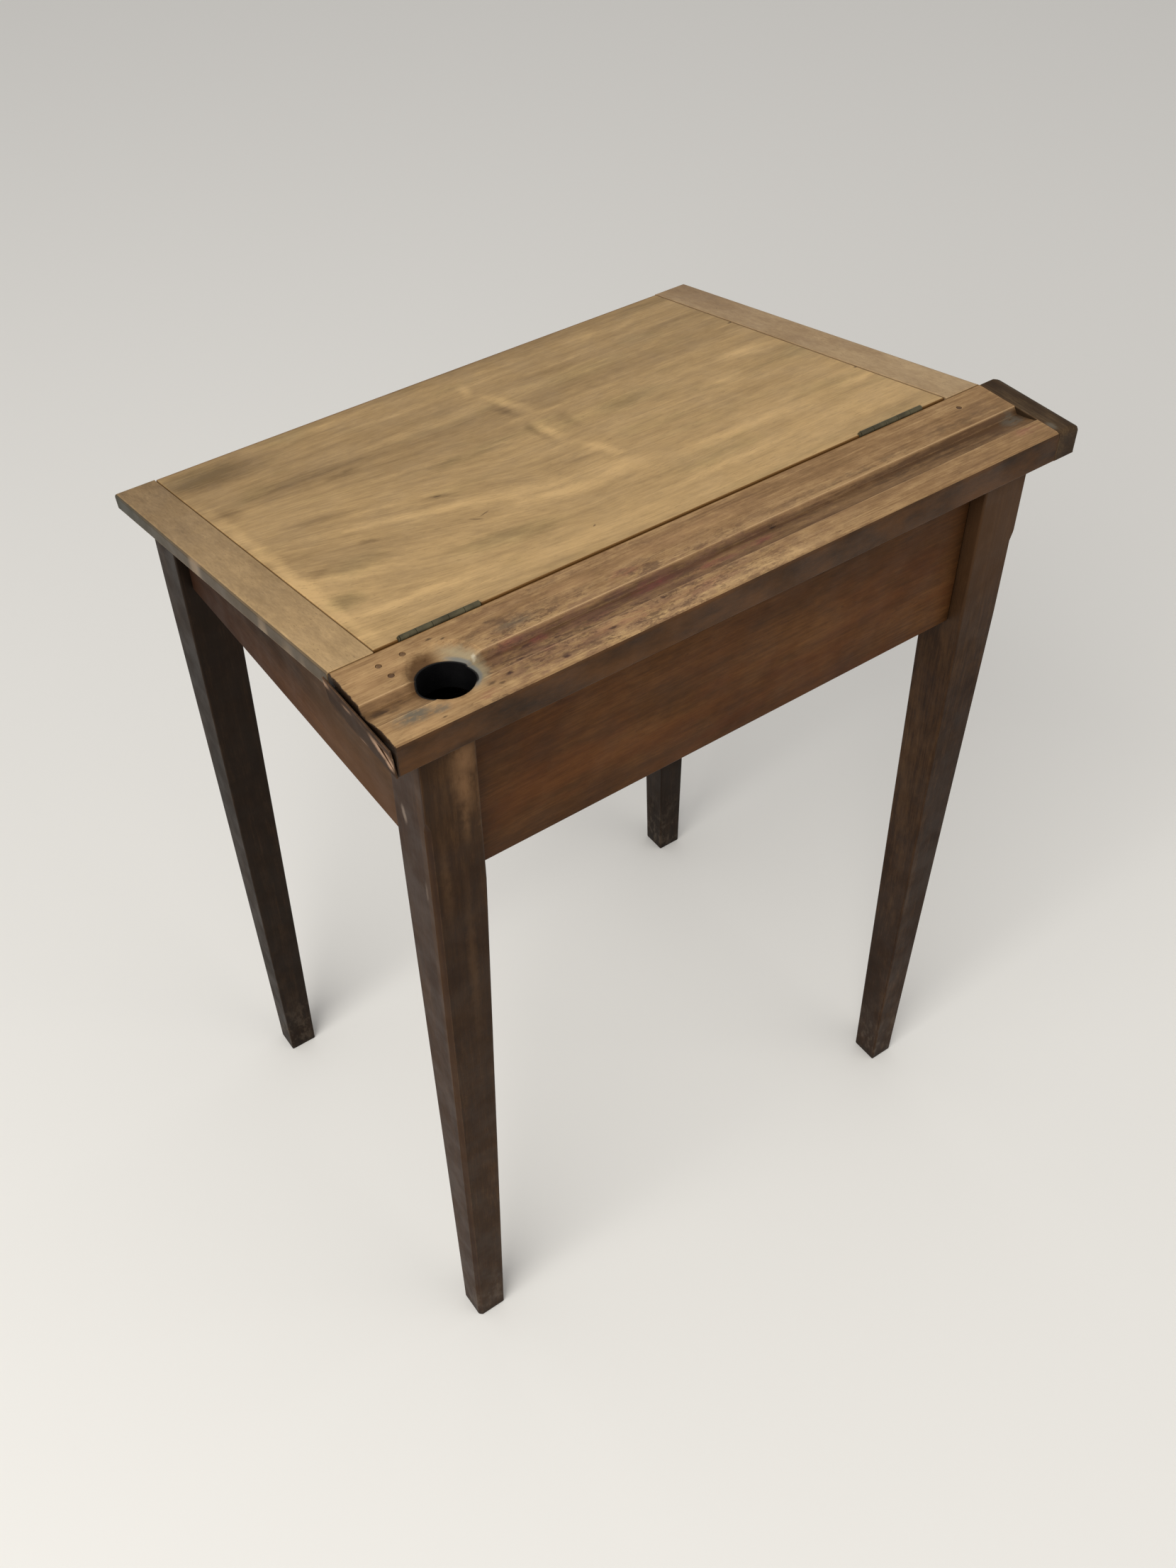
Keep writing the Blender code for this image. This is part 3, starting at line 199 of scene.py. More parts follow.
class Shader:
    """A material's node tree, built by small steps."""

    def __init__(self, name, specular):
        """Starts a material, with the place and the normal of each point of the surface."""
        self.material = bpy.data.materials.new(name)
        self.material.use_nodes = True
        self.tree = self.material.node_tree
        self.principled = self.tree.nodes["Principled BSDF"]
        self.principled.inputs["Specular IOR Level"].default_value = specular
        coordinates = self.new("ShaderNodeTexCoord")
        self.place = coordinates.outputs["Object"]
        self.x, self.y, self.z = self.split(self.place)
        self.normal = dict(zip("xyz", self.split(coordinates.outputs["Normal"])))

    def new(self, kind, **values):
        """A new node with its settings."""
        node = self.tree.nodes.new(kind)
        for name, value in values.items():
            setattr(node, name, value)
        return node

    def link(self, source, target):
        """Feeds an input from a socket, or sets it to a plain value."""
        if hasattr(source, "is_output"):
            self.tree.links.new(source, target)
        else:
            target.default_value = source

    def math(self, operation, *values):
        """One step of arithmetic."""
        node = self.new("ShaderNodeMath", operation=operation)
        for socket, value in zip(node.inputs, values):
            self.link(value, socket)
        return node.outputs[0]

    def times(self, first, *others):
        """The product of some values."""
        for other in others:
            first = self.math("MULTIPLY", first, other)
        return first

    def vector(self, operation, *values, scale=None):
        """One step of arithmetic with vectors."""
        node = self.new("ShaderNodeVectorMath", operation=operation)
        for socket, value in zip(node.inputs, values):
            self.link(value, socket)
        if scale is not None:
            self.link(scale, node.inputs["Scale"])
        return node.outputs["Value" if operation in ("LENGTH", "DOT_PRODUCT") else "Vector"]

    def split(self, vector):
        """The three numbers of a vector."""
        node = self.new("ShaderNodeSeparateXYZ")
        self.link(vector, node.inputs[0])
        return list(node.outputs)

    def join(self, *values):
        """A vector of three numbers."""
        node = self.new("ShaderNodeCombineXYZ")
        for socket, value in zip(node.inputs, values):
            self.link(value, socket)
        return node.outputs[0]

    def mapped(self, sizes, shift=(0, 0, 0), source=None):
        """A place counted in steps of the given sizes."""
        node = self.new("ShaderNodeMapping")
        node.inputs["Scale"].default_value = [1 / size for size in sizes]
        node.inputs["Location"].default_value = shift
        self.link(source or self.place, node.inputs["Vector"])
        return node.outputs[0]

    def noise(self, vector, detail, roughness, output="Fac"):
        """Noise with one step to each unit of the vector."""
        node = self.new("ShaderNodeTexNoise")
        self.link(vector, node.inputs["Vector"])
        node.inputs["Scale"].default_value = 1
        node.inputs["Detail"].default_value = detail
        node.inputs["Roughness"].default_value = roughness
        return node.outputs[output]

    def ramp(self, value, low, high, start=0.0, end=1.0):
        """A smooth step of a value from low to high."""
        node = self.new("ShaderNodeMapRange", interpolation_type="SMOOTHSTEP")
        self.link(value, node.inputs["Value"])
        for name, number in (("From Min", low), ("From Max", high), ("To Min", start), ("To Max", end)):
            self.link(number, node.inputs[name])
        return node.outputs["Result"]

    def band(self, value, low, high, soft):
        """1 between two values, falling to 0 past them."""
        rise = self.ramp(value, low - soft, low + soft)
        return self.times(rise, self.ramp(value, high - soft, high + soft, 1, 0))

    def mix(self, share, first, second, blend="MIX"):
        """A share of the second colour over the first."""
        node = self.new("ShaderNodeMix", data_type="RGBA", blend_type=blend, clamp_factor=True)
        self.link(share, node.inputs["Factor"])
        colours = [socket for socket in node.inputs if socket.type == "RGBA"]
        self.link(first, colours[0])
        self.link(second, colours[1])
        return next(socket for socket in node.outputs if socket.type == "RGBA")

    def colours(self, value, stops):
        """The colour of a value, between stops of a place and a colour."""
        node = self.new("ShaderNodeValToRGB")
        self.link(value, node.inputs[0])
        elements = node.color_ramp.elements
        while len(elements) < len(stops):
            elements.new(1)
        for element, (place, colour) in zip(elements, stops):
            element.position = place
            element.color = colour
        return node.outputs["Color"]

    def facing(self, axis, sign=1):
        """1 on faces that look along an axis of the desk."""
        return self.ramp(self.times(self.normal[axis], sign), 0.45, 0.8)

    def plane(self, across, up, ragged, size):
        """Two coordinates of a face, shaken a little so that marks on it have ragged edges."""
        flat = self.join(across, up, 0)
        shaken = self.vector("SUBTRACT", self.noise(self.mapped([size] * 3), 5, 0.65, "Color"), (0.5, 0.5, 0.5))
        return self.vector("ADD", flat, self.vector("SCALE", shaken, scale=ragged))

    def marks(self, plane, table, soft=0.75):
        """The strongest of some soft marks, each (across, up, length, width, degrees, strength)."""
        strongest = 0
        for across, up, length, width, degrees, strength in table:
            spot = self.new("ShaderNodeMapping", vector_type="TEXTURE")
            self.link(plane, spot.inputs["Vector"])
            spot.inputs["Location"].default_value = (across, up, 0)
            spot.inputs["Rotation"].default_value = (0, 0, radians(degrees))
            spot.inputs["Scale"].default_value = (length / 2, width / 2, 1)
            flat = self.vector("MULTIPLY", spot.outputs[0], (1, 1, 0))
            share = self.ramp(self.vector("LENGTH", flat), 1 - soft, 1 + soft / 3, strength, 0)
            strongest = self.math("MAXIMUM", strongest, share)
        return strongest

    def worn_edge(self, radius, low=0.03, high=0.25):
        """1 on arrises, from the difference between a rounded and the true normal."""
        bevel = self.new("ShaderNodeBevel", samples=4)
        bevel.inputs["Radius"].default_value = radius
        geometry = self.new("ShaderNodeNewGeometry")
        dot = self.vector("DOT_PRODUCT", bevel.outputs[0], geometry.outputs["Normal"])
        return self.ramp(self.math("SUBTRACT", 1, dot), low, high)

    def bump(self, height, strength, distance=0.0005):
        """Fine relief, for the light alone."""
        node = self.new("ShaderNodeBump")
        node.inputs["Strength"].default_value = strength
        node.inputs["Distance"].default_value = distance
        self.link(height, node.inputs["Height"])
        self.link(node.outputs[0], self.principled.inputs["Normal"])


# Length and width of what each noise draws along a board, with its detail and roughness
GRAIN_FIELDS = {
    "broad": (0.34, 0.030, 3, 0.5),
    "band": (0.15, 0.0085, 4, 0.6),
    "fibre": (0.040, 0.0013, 3, 0.75),
    "pore": (0.0055, 0.00075, 2, 0.5),
    "mottle": (0.016, 0.0060, 5, 0.7),
}
TONE_WEIGHTS = {"broad": 0.9, "band": 0.6, "fibre": 0.7, "mottle": 0.7}
TONE_PLACES = (0.15, 0.5, 0.85)
BARE_PLACES = (0.3, 0.7)
PORE_SHARE = 0.55


class Wood(Shader):
    """A board: its grain, its stains, its worn arrises, and soiling with painted shade in its corners."""

    def lay(self, along, tones, base, shift, contrast, source=None):
        """The board's own colour, from its grain along one axis and its pores."""
        self.fields = {}
        for name, (length, width, detail, roughness) in GRAIN_FIELDS.items():
            sizes = [length if axis == along else width for axis in "xyz"]
            self.fields[name] = self.noise(self.mapped(sizes, shift, source), detail, roughness)
        tone = base
        for name, weight in TONE_WEIGHTS.items():
            centred = self.math("SUBTRACT", self.fields[name], 0.5)
            tone = self.math("MULTIPLY_ADD", centred, weight * contrast, tone)
        self.colour = self.colours(tone, tuple(zip(TONE_PLACES, tones)))
        pores = self.ramp(self.fields["pore"], 0.60, 0.74)
        self.pores = self.times(pores, self.ramp(self.fields["band"], 0.35, 0.6))
        self.shade(self.times(self.pores, PORE_SHARE), tones[0])

    def shade(self, share, colour):
        """Lays a colour over the board."""
        self.colour = self.mix(share, self.colour, colour)

    def darken(self, share, colour):
        """Stains the board, with its grain left to show through."""
        self.colour = self.mix(share, self.colour, colour, "MULTIPLY")

    def bare(self, share):
        """Wood that was never varnished, on a face that looks into the box or down."""
        dark, _, light = BARE_TONES
        self.shade(share, self.colours(self.fields["band"], tuple(zip(BARE_PLACES, (dark, light)))))

    def smear(self, low, high, size, along="x", stretch=5):
        """Broken cover that follows the grain."""
        sizes = [size * stretch if axis == along else size for axis in "xyz"]
        return self.ramp(self.noise(self.mapped(sizes), 5, 0.65), low, high)

    def wear(self, colour, amount, radius):
        """Rubs the arrises, more in some places than in others."""
        broken = self.ramp(self.noise(self.mapped([0.012] * 3), 4, 0.6), 0.35, 0.62, 0.25, 1)
        self.shade(self.times(self.worn_edge(radius), broken, amount), colour)

    def corner_soil_and_shade(self, colour, amount, distance):
        """Darkens the corners by ambient occlusion: painted shade, with soiling."""
        corner = self.new("ShaderNodeAmbientOcclusion", samples=6)
        corner.inputs["Distance"].default_value = distance
        # Where ambient occlusion finds a corner: painted shade, with soiling
        shade_and_soil = self.ramp(corner.outputs["AO"], 0.35, 0.9, 1, 0)
        self.darken(self.times(shade_and_soil, amount), colour)

    def close(self, smooth, rough, relief):
        """Roughness and bump from the same grain, and the finished material."""
        self.link(self.colour, self.principled.inputs["Base Color"])
        cover = self.noise(self.mapped([0.03] * 3), 4, 0.6)
        self.link(self.ramp(cover, 0.3, 0.7, smooth, rough), self.principled.inputs["Roughness"])
        fine = self.times(self.fields["fibre"], 0.6)
        low = self.math("MULTIPLY_ADD", self.fields["band"], 0.5, fine)
        height = self.math("MULTIPLY_ADD", self.pores, -0.5, low)
        self.bump(height, relief)
        return self.material


# The sweep of the lid's grain lines: its rise and fall along y, the x that it starts from, and its unevenness
SWEEP_RISE = (-0.144, -0.024, 0, 0.36)
SWEEP_FALL = (0.0, 0.10, 0, 0.26)
SWEEP_START_X = 0.04
SWEEP_WANDER = 0.006

# Where each dark seam starts and is full, from the edge of its board, and how dark it is
LID_BACK_SEAM = (-0.0012, -0.0003, 0.95)
LID_LEFT_SEAM = (0.0018, 0.0006, 0.85)
LID_RIGHT_SEAM = (-0.0008, -0.0002, 0.50)
RAIL_FRONT_SEAM = (0.0012, 0.0003, 0.95)

# How far marks are shaken, and the size of the noise that shakes them
LID_BROAD_SHAKE = (0.016, 0.022)
LID_FINE_SHAKE = (0.002, 0.006)
RAIL_BROAD_SHAKE = (0.010, 0.007)
RAIL_FINE_SHAKE = (0.003, 0.003)


def lid_bend(wood):
    """The place with the lid's grain lines swept back beside its +X edge."""
    rise = wood.ramp(wood.y, *SWEEP_RISE)
    slope = wood.math("SUBTRACT", rise, wood.ramp(wood.y, *SWEEP_FALL))
    reach = wood.math("MAXIMUM", wood.math("SUBTRACT", wood.x, SWEEP_START_X), 0)
    wander = wood.noise(wood.mapped((0.16, 0.08, 0.08)), 1, 0.5)
    push = wood.math("MULTIPLY_ADD", wander, SWEEP_WANDER, wood.times(slope, reach))
    return wood.join(wood.x, wood.math("ADD", wood.y, push), wood.z)


def seam(wood, place, edge, start, full, share):
    """A dark line along one edge of a board."""
    wood.shade(wood.ramp(place, edge + start, edge + full, 0, share), SEAM_BROWN)


# Pale, dark and greenish patches and small specks of the lid, as Shader.marks reads them
LID_LIGHT = (
    (0.2225, 0.0160, 0.013, 0.27, 0, 0.9), (0.111, 0.0020, 0.150, 0.014, -20, 0.7),
    (0.174, 0.0870, 0.115, 0.014, -7, 0.8), (0.185, 0.0360, 0.080, 0.016, -17, 0.5),
    (-0.005, 0.0400, 0.055, 0.026, -8, 0.8), (0.045, 0.0410, 0.080, 0.018, -14, 0.7),
    (-0.120, -0.1690, 0.045, 0.016, 0, 0.6), (-0.154, -0.1620, 0.030, 0.012, 0, 0.5),
    (-0.180, -0.0480, 0.045, 0.020, 0, 0.6), (-0.137, -0.0200, 0.040, 0.016, 0, 0.6),
    (-0.100, 0.0550, 0.150, 0.016, 0, 0.8), (-0.196, 0.0540, 0.055, 0.013, 0, 0.7),
    (-0.055, 0.0890, 0.100, 0.008, 0, 0.6), (-0.012, -0.1040, 0.014, 0.060, 12, 0.8),
    (-0.006, -0.0490, 0.013, 0.050, -10, 0.8), (-0.014, 0.0060, 0.014, 0.040, 15, 0.8),
    (-0.002, -0.1540, 0.012, 0.030, -12, 0.7), (0.070, 0.0150, 0.110, 0.022, -18, 0.5),
    (0.060, 0.1010, 0.200, 0.016, 0, 0.5),
)
LID_DARK = (
    (0.133, -0.1000, 0.036, 0.012, 2, 0.8), (0.215, -0.1020, 0.026, 0.024, 0, 0.7),
    (0.2095, 0.0160, 0.024, 0.014, -10, 0.7), (0.212, 0.0610, 0.022, 0.018, -10, 0.8),
    (0.103, -0.0170, 0.022, 0.006, -20, 0.7), (0.165, 0.0030, 0.018, 0.007, -20, 0.8),
    (0.195, -0.1690, 0.090, 0.050, 0, 0.9), (0.160, -0.1140, 0.140, 0.040, 2, 0.55),
    (0.060, -0.1290, 0.120, 0.012, 2, 0.5), (0.175, -0.0490, 0.060, 0.016, -14, 0.55),
    (0.060, -0.0540, 0.120, 0.010, -12, 0.45), (0.100, 0.0610, 0.050, 0.014, -8, 0.6),
    (0.082, 0.0750, 0.040, 0.010, -6, 0.6), (-0.070, -0.0440, 0.070, 0.020, 0, 0.5),
    (-0.030, -0.0790, 0.045, 0.010, 4, 0.5), (0.185, 0.0260, 0.060, 0.022, -15, 0.4),
    (-0.060, -0.1340, 0.100, 0.020, 0, 0.35), (0.003, -0.0480, 0.010, 0.045, -8, 0.6),
    (-0.002, -0.0980, 0.010, 0.040, 8, 0.5), (-0.024, -0.0500, 0.012, 0.040, -8, 0.5),
    (0.020, 0.0060, 0.060, 0.008, -10, 0.4),
)
LID_GREEN = (
    (0.212, 0.0610, 0.030, 0.024, 0, 0.7), (0.205, -0.1740, 0.070, 0.040, 0, 0.6),
    (-0.070, -0.0440, 0.080, 0.030, 0, 0.6), (0.100, 0.0660, 0.090, 0.024, -8, 0.6),
    (-0.080, -0.1140, 0.090, 0.030, 0, 0.5), (0.185, 0.0260, 0.050, 0.030, 0, 0.4),
)
LID_SPECKS = (
    (0.1020, 0.0305, 0.0120, 0.0016, -42, 0.7), (0.0945, 0.0275, 0.0090, 0.0016, 20, 0.7),
    (0.1030, -0.0170, 0.0060, 0.0020, -20, 0.8), (-0.210, -0.0990, 0.006, 0.003, 0, 0.9),
    (-0.2112, 0.0385, 0.006, 0.003, 0, 0.9), (0.056, 0.0940, 0.004, 0.0015, 30, 0.7),
)

# The lid's tone along its front and back edges, how far pale and dark patches move it, and its brown front edge
LID_FRONT_TONE = 0.44
LID_BACK_TONE = 0.62
LID_LIFT = 0.30
LID_DROP = -0.32
LID_FRONT_FADE = (LID_LOW.y + 0.004, LID_LOW.y + 0.0005)


def lid_material():
    """A pale sanded board with darker patches where hands and arms lay."""
    wood = Wood("lid_wood", SANDED_SPECULAR)
    plane = wood.plane(wood.x, wood.y, *LID_BROAD_SHAKE)
    fine_plane = wood.plane(wood.x, wood.y, *LID_FINE_SHAKE)
    base = wood.ramp(wood.y, LID_LOW.y, LID_HIGH.y, LID_FRONT_TONE, LID_BACK_TONE)
    base = wood.math("MULTIPLY_ADD", wood.marks(plane, LID_LIGHT, 1.0), LID_LIFT, base)
    base = wood.math("MULTIPLY_ADD", wood.marks(plane, LID_DARK, 1.0), LID_DROP, base)
    wood.lay("x", LID_TONES, base, shift=(3, 1, 0), contrast=0.62, source=lid_bend(wood))
    cloud = wood.noise(wood.mapped((0.10, 0.035, 0.05), (7, 0, 0)), 4, 0.6)
    grey = wood.math("MAXIMUM", wood.marks(plane, LID_GREEN), wood.ramp(cloud, 0.52, 0.74, 0, 0.6))
    wood.darken(wood.times(grey, 0.5), HAND_GREY)
    wood.shade(wood.marks(fine_plane, LID_SPECKS), LID_SPECK)
    wood.bare(wood.facing("z", -1))
    wood.shade(wood.times(wood.ramp(wood.y, *LID_FRONT_FADE), 0.7), LID_FRONT_BROWN)
    wood.wear(*LID_WORN)
    wood.corner_soil_and_shade(*PALE_CORNER_SOIL_AND_SHADE)
    seam(wood, wood.y, LID_HIGH.y, *LID_BACK_SEAM)
    seam(wood, wood.x, LID_LOW.x, *LID_LEFT_SEAM)
    seam(wood, wood.x, LID_HIGH.x, *LID_RIGHT_SEAM)
    return wood.close(*SANDED)


# Place along y and length of each scuff on a strip's outer edge
STRIP_SCUFFS = ((-0.06, 0.020), (0.04, 0.016), (0.074, 0.022), (0.092, 0.014), (0.118, 0.02))

# The strips' tone along their front and back edges, and where their outer edge turns greenish
LEFT_STRIP_FRONT_TONE = 0.50
RIGHT_STRIP_FRONT_TONE = 0.30
STRIP_BACK_TONE = 0.66
STRIP_GREEN_FADE = (-0.05, STRIP_LOW.y)


def strip_material(name, tones, shift, side, front_tone):
    """An end strip of the lid, its outer edge dark and rubbed."""
    wood = Wood(name, SANDED_SPECULAR)
    base = wood.ramp(wood.y, STRIP_LOW.y, STRIP_HIGH.y, front_tone, STRIP_BACK_TONE)
    wood.lay("y", tones, base, shift, contrast=0.55)
    plane = wood.plane(wood.y, wood.z, 0.004, 0.008)
    edge = wood.facing("x", side)
    wood.shade(edge, STRIP_EDGE)
    wood.shade(wood.times(edge, wood.ramp(wood.y, *STRIP_GREEN_FADE), 0.8), STRIP_EDGE_GREEN)
    scuffs = [(place, STRIP_MIDDLE_Z, length, 0.05, 0, 0.8) for place, length in STRIP_SCUFFS]
    wood.shade(wood.times(edge, wood.marks(plane, scuffs)), STRIP_SCUFF)
    wood.bare(wood.facing("z", -1))
    wood.wear(*STRIP_WORN)
    wood.corner_soil_and_shade(*PALE_CORNER_SOIL_AND_SHADE)
    return wood.close(*SANDED)


# Dark, speckled, pink, blue-grey and tan marks of the rail's top
RAIL_DARK = (
    (0.152, 0.1465, 0.034, 0.014, -6, 0.75), (0.162, 0.1390, 0.012, 0.005, -10, 0.8),
    (0.125, 0.1450, 0.030, 0.008, 0, 0.45), (0.182, 0.1460, 0.026, 0.010, 10, 0.5),
    (0.2080, 0.1260, 0.010, 0.008, 0, 0.3), (0.236, 0.1640, 0.014, 0.008, 0, 0.6),
    (0.2480, 0.1655, 0.013, 0.0085, 0, 1.0), (0.146, 0.1750, 0.030, 0.008, 0, 0.5),
    (0.100, 0.1660, 0.080, 0.012, 0, 0.45), (0.118, 0.1460, 0.060, 0.006, 0, 0.3),
    (0.060, 0.1660, 0.060, 0.010, 0, 0.35), (-0.05, 0.1650, 0.090, 0.010, 0, 0.45),
    (-0.15, 0.1650, 0.120, 0.012, 0, 0.6), (-0.10, 0.1520, 0.160, 0.006, 0, 0.5),
    (-0.20, 0.1500, 0.080, 0.010, 0, 0.5), (0.170, 0.1850, 0.050, 0.009, 0, 0.45),
    (0.130, 0.1880, 0.060, 0.007, 0, 0.5), (0.090, 0.1895, 0.050, 0.006, 0, 0.4),
)
RAIL_SPECKS = (
    (-0.030, 0.1610, 0.006, 0.003, 0, 0.9), (0.068, 0.1800, 0.006, 0.003, 0, 0.9),
    (0.164, 0.1750, 0.006, 0.003, 0, 0.9), (0.1765, 0.1830, 0.005, 0.003, 0, 0.9),
    (0.143, 0.1896, 0.006, 0.003, 0, 0.9), (0.1540, 0.1650, 0.012, 0.003, 10, 0.8),
    (0.136, 0.1700, 0.005, 0.002, 0, 0.8), (0.191, 0.1360, 0.004, 0.002, 0, 0.7),
    (0.120, 0.1750, 0.010, 0.002, 0, 0.7), (0.108, 0.1850, 0.008, 0.002, 0, 0.8),
    (0.2080, 0.1440, 0.004, 0.002, 30, 0.7), (0.198, 0.1320, 0.005, 0.002, 0, 0.7),
    (0.230, 0.1460, 0.007, 0.002, 20, 0.6), (0.2240, 0.1920, 0.004, 0.002, 0, 0.6),
    (0.250, 0.1650, 0.013, 0.0065, 0, 0.62), (0.242, 0.1690, 0.010, 0.0040, 0, 0.40),
    (0.189, 0.1840, 0.007, 0.0030, 0, 0.6), (0.184, 0.1870, 0.005, 0.0020, 0, 0.6),
)
RAIL_PINK = (
    (0.161, 0.1590, 0.022, 0.008, 0, 0.6), (0.145, 0.1640, 0.020, 0.008, 0, 0.8),
    (0.146, 0.1770, 0.016, 0.007, 0, 0.7), (0.073, 0.1480, 0.026, 0.010, 0, 0.5),
    (0.062, 0.1640, 0.040, 0.010, 0, 0.8), (0.020, 0.1690, 0.036, 0.009, 0, 0.9),
    (-0.013, 0.1680, 0.030, 0.008, 0, 0.9), (0.195, 0.1900, 0.016, 0.007, 0, 0.6),
    (0.100, 0.1840, 0.060, 0.010, 0, 0.5), (0.040, 0.1860, 0.060, 0.010, 0, 0.5),
    (-0.226, 0.1820, 0.024, 0.010, 0, 0.6), (0.110, 0.1690, 0.030, 0.008, 0, 0.5),
)
RAIL_BLUE = (
    (0.237, 0.1815, 0.028, 0.0140, 0, 1.0), (0.223, 0.1850, 0.014, 0.007, 0, 0.8),
    (-0.233, 0.1650, 0.020, 0.014, 0, 0.8), (0.150, 0.1480, 0.030, 0.010, 0, 0.5),
)
RAIL_TAN = (
    (0.212, 0.1830, 0.040, 0.012, 0, 0.8), (0.228, 0.1390, 0.022, 0.022, 0, 0.6),
    (0.246, 0.1420, 0.020, 0.030, 0, 0.5), (0.105, 0.1390, 0.040, 0.010, 0, 0.5),
    (0.020, 0.1380, 0.120, 0.012, 0, 0.6), (0.236, 0.1920, 0.030, 0.008, 0, 0.7),
)

# Each ink stain of the rail: its marks, the range of its cover, how far this runs, its colour and amount
RAIL_STAINS = (
    (RAIL_DARK, 0.36, 0.60, 3, RAIL_DIRT, 0.8),
    (RAIL_PINK, 0.34, 0.60, 4, INK_PINK, 0.6),
    (RAIL_BLUE, 0.30, 0.52, 2, INK_BLUE_GREY, 0.85),
)
RAIL_STAIN_SIZE = 0.003

# The rail's tone, and what each zone adds to it
RAIL_TONE = 0.66
RAIL_ZONE_TONES = {"far": -0.20, "groove": -0.24, "wall": -0.16, "floor": 0.16}

# Across the groove: its wall, its pale floor and its pale arrises, each of these with its amount
GROOVE_WALL = (GROOVE_Y + 0.0010, GROOVE_Y + 0.0060)
GROOVE_FLOOR = (GROOVE_Y + 0.0095, RIDGE_Y)
RAIL_ARRISES = ((GROOVE_Y - 0.0007, 0.7), (RIDGE_Y, 0.25))
ARRIS_WIDTH = 0.0006

# Fades along x and y of the rail, with the shares at their ends where these aren't 0 and 1
FAR_FADE = (0.16, -0.24)
WALL_FADE = (0.235, 0.185, 0.2, 1)
FLOOR_FADE = (-0.10, 0.08)
CLOUD_FADE_FAR = (-0.12, 0.06)
CLOUD_FADE_NEAR = (0.20, 0.165)
CLOUD_FADE_BEHIND = (GROOVE_Y - 0.010, GROOVE_Y, 0.3, 1)
FRECKLE_FADE_FAR = (-0.10, 0.08, 0.15, 1)
FRECKLE_FADE_NEAR = (0.225, 0.185)
FRECKLE_FADE_BEHIND = (GROOVE_Y - 0.016, GROOVE_Y - 0.004, 0.45, 1)
BACK_FACE_FADE = (RAIL_HIGH.y - 0.004, RAIL_HIGH.y - 0.002)
END_FADE = (RAIL_HIGH.x - 0.0012, RAIL_HIGH.x - 0.0004)


def rail_zones(wood):
    """The rail's tones, paler before and behind the groove, darker in it and towards -X."""
    wall = wood.band(wood.y, *GROOVE_WALL, soft=0.0012)
    floor = wood.band(wood.y, *GROOVE_FLOOR, soft=0.0030)
    zones = {
        "far": wood.ramp(wood.x, *FAR_FADE),
        "groove": wood.band(wood.y, GROOVE_Y, RIDGE_Y, soft=0.0005),
        "wall": wood.times(wall, wood.ramp(wood.x, *WALL_FADE)),
        "floor": wood.times(floor, wood.ramp(wood.x, *FLOOR_FADE)),
    }
    tone = RAIL_TONE
    for zone, share in zones.items():
        tone = wood.math("MULTIPLY_ADD", share, RAIL_ZONE_TONES[zone], tone)
    return tone


def rail_stains(wood, plane):
    """Pale patches and brown streaks, then the ink stains, broken along the grain."""
    wood.shade(wood.times(wood.marks(plane, RAIL_TAN), 0.55), RAIL_TAN_TONE)
    wood.shade(wood.times(wood.smear(0.46, 0.66, 0.004, stretch=7), 0.16), RAIL_STREAK)
    for table, low, high, stretch, colour, amount in RAIL_STAINS:
        cover = wood.smear(low, high, RAIL_STAIN_SIZE, stretch=stretch)
        wood.shade(wood.times(wood.marks(plane, table), cover, amount), colour)


def rail_cloud(wood):
    """The reddish cloud of soaked ink between the hole and the rail's middle."""
    soaked = wood.times(wood.ramp(wood.x, *CLOUD_FADE_FAR), wood.ramp(wood.x, *CLOUD_FADE_NEAR),
                        wood.ramp(wood.y, *CLOUD_FADE_BEHIND))
    cloud = wood.ramp(wood.noise(wood.mapped((0.016, 0.0055, 0.0055), (4, 4, 4)), 6, 0.75), 0.42, 0.58)
    wood.shade(wood.times(soaked, cloud, 0.42), INK_SOAKED)


def rail_freckles(wood):
    """Small ink runs along the grain, thickest beside the hole and in the groove."""
    runs = wood.ramp(wood.noise(wood.mapped((0.0120, 0.0042, 0.0042)), 6, 0.75), 0.49, 0.58)
    dots = wood.ramp(wood.noise(wood.mapped((0.0050, 0.0022, 0.0022), (9, 9, 9)), 4, 0.6), 0.57, 0.65, 0, 0.8)
    clouds = wood.ramp(wood.noise(wood.mapped((0.05, 0.012, 0.012)), 3, 0.6), 0.38, 0.54)
    spread = wood.times(wood.ramp(wood.x, *FRECKLE_FADE_FAR), wood.ramp(wood.x, *FRECKLE_FADE_NEAR),
                        wood.ramp(wood.y, *FRECKLE_FADE_BEHIND), clouds)
    wood.shade(wood.times(wood.math("MAXIMUM", runs, dots), spread, 0.62), INK_FRECKLE)


def rail_outside(wood):
    """Old varnish on the back face, a bare underside, soiling with painted shade in its corners, a dark seam at the
    lid and painted shadow in the gap at the +X end.
    """
    varnished = wood.times(wood.facing("y"), wood.ramp(wood.y, *BACK_FACE_FADE))
    mottled = wood.noise(wood.mapped((0.05, 0.02, 0.02), (1, 5, 9)), 6, 0.65)
    wood.shade(varnished, wood.colours(mottled, tuple(zip((0.35, 0.65), RAIL_BACK_VARNISH))))
    wood.shade(wood.times(wood.facing("z", -1), 0.8), RAIL_UNDERSIDE)
    wood.corner_soil_and_shade(*RAIL_CORNER_SOIL_AND_SHADE)
    seam(wood, wood.y, RAIL_LOW.y, *RAIL_FRONT_SEAM)
    # Painted shadow in the gap at the +X end, with a ragged edge
    ragged = wood.math("MULTIPLY_ADD", wood.noise(wood.mapped([0.006] * 3), 4, 0.6), 0.0030, -0.0016)
    wood.shade(wood.ramp(wood.math("ADD", wood.x, ragged), *END_FADE), RAIL_END_GAP_SHADOW)


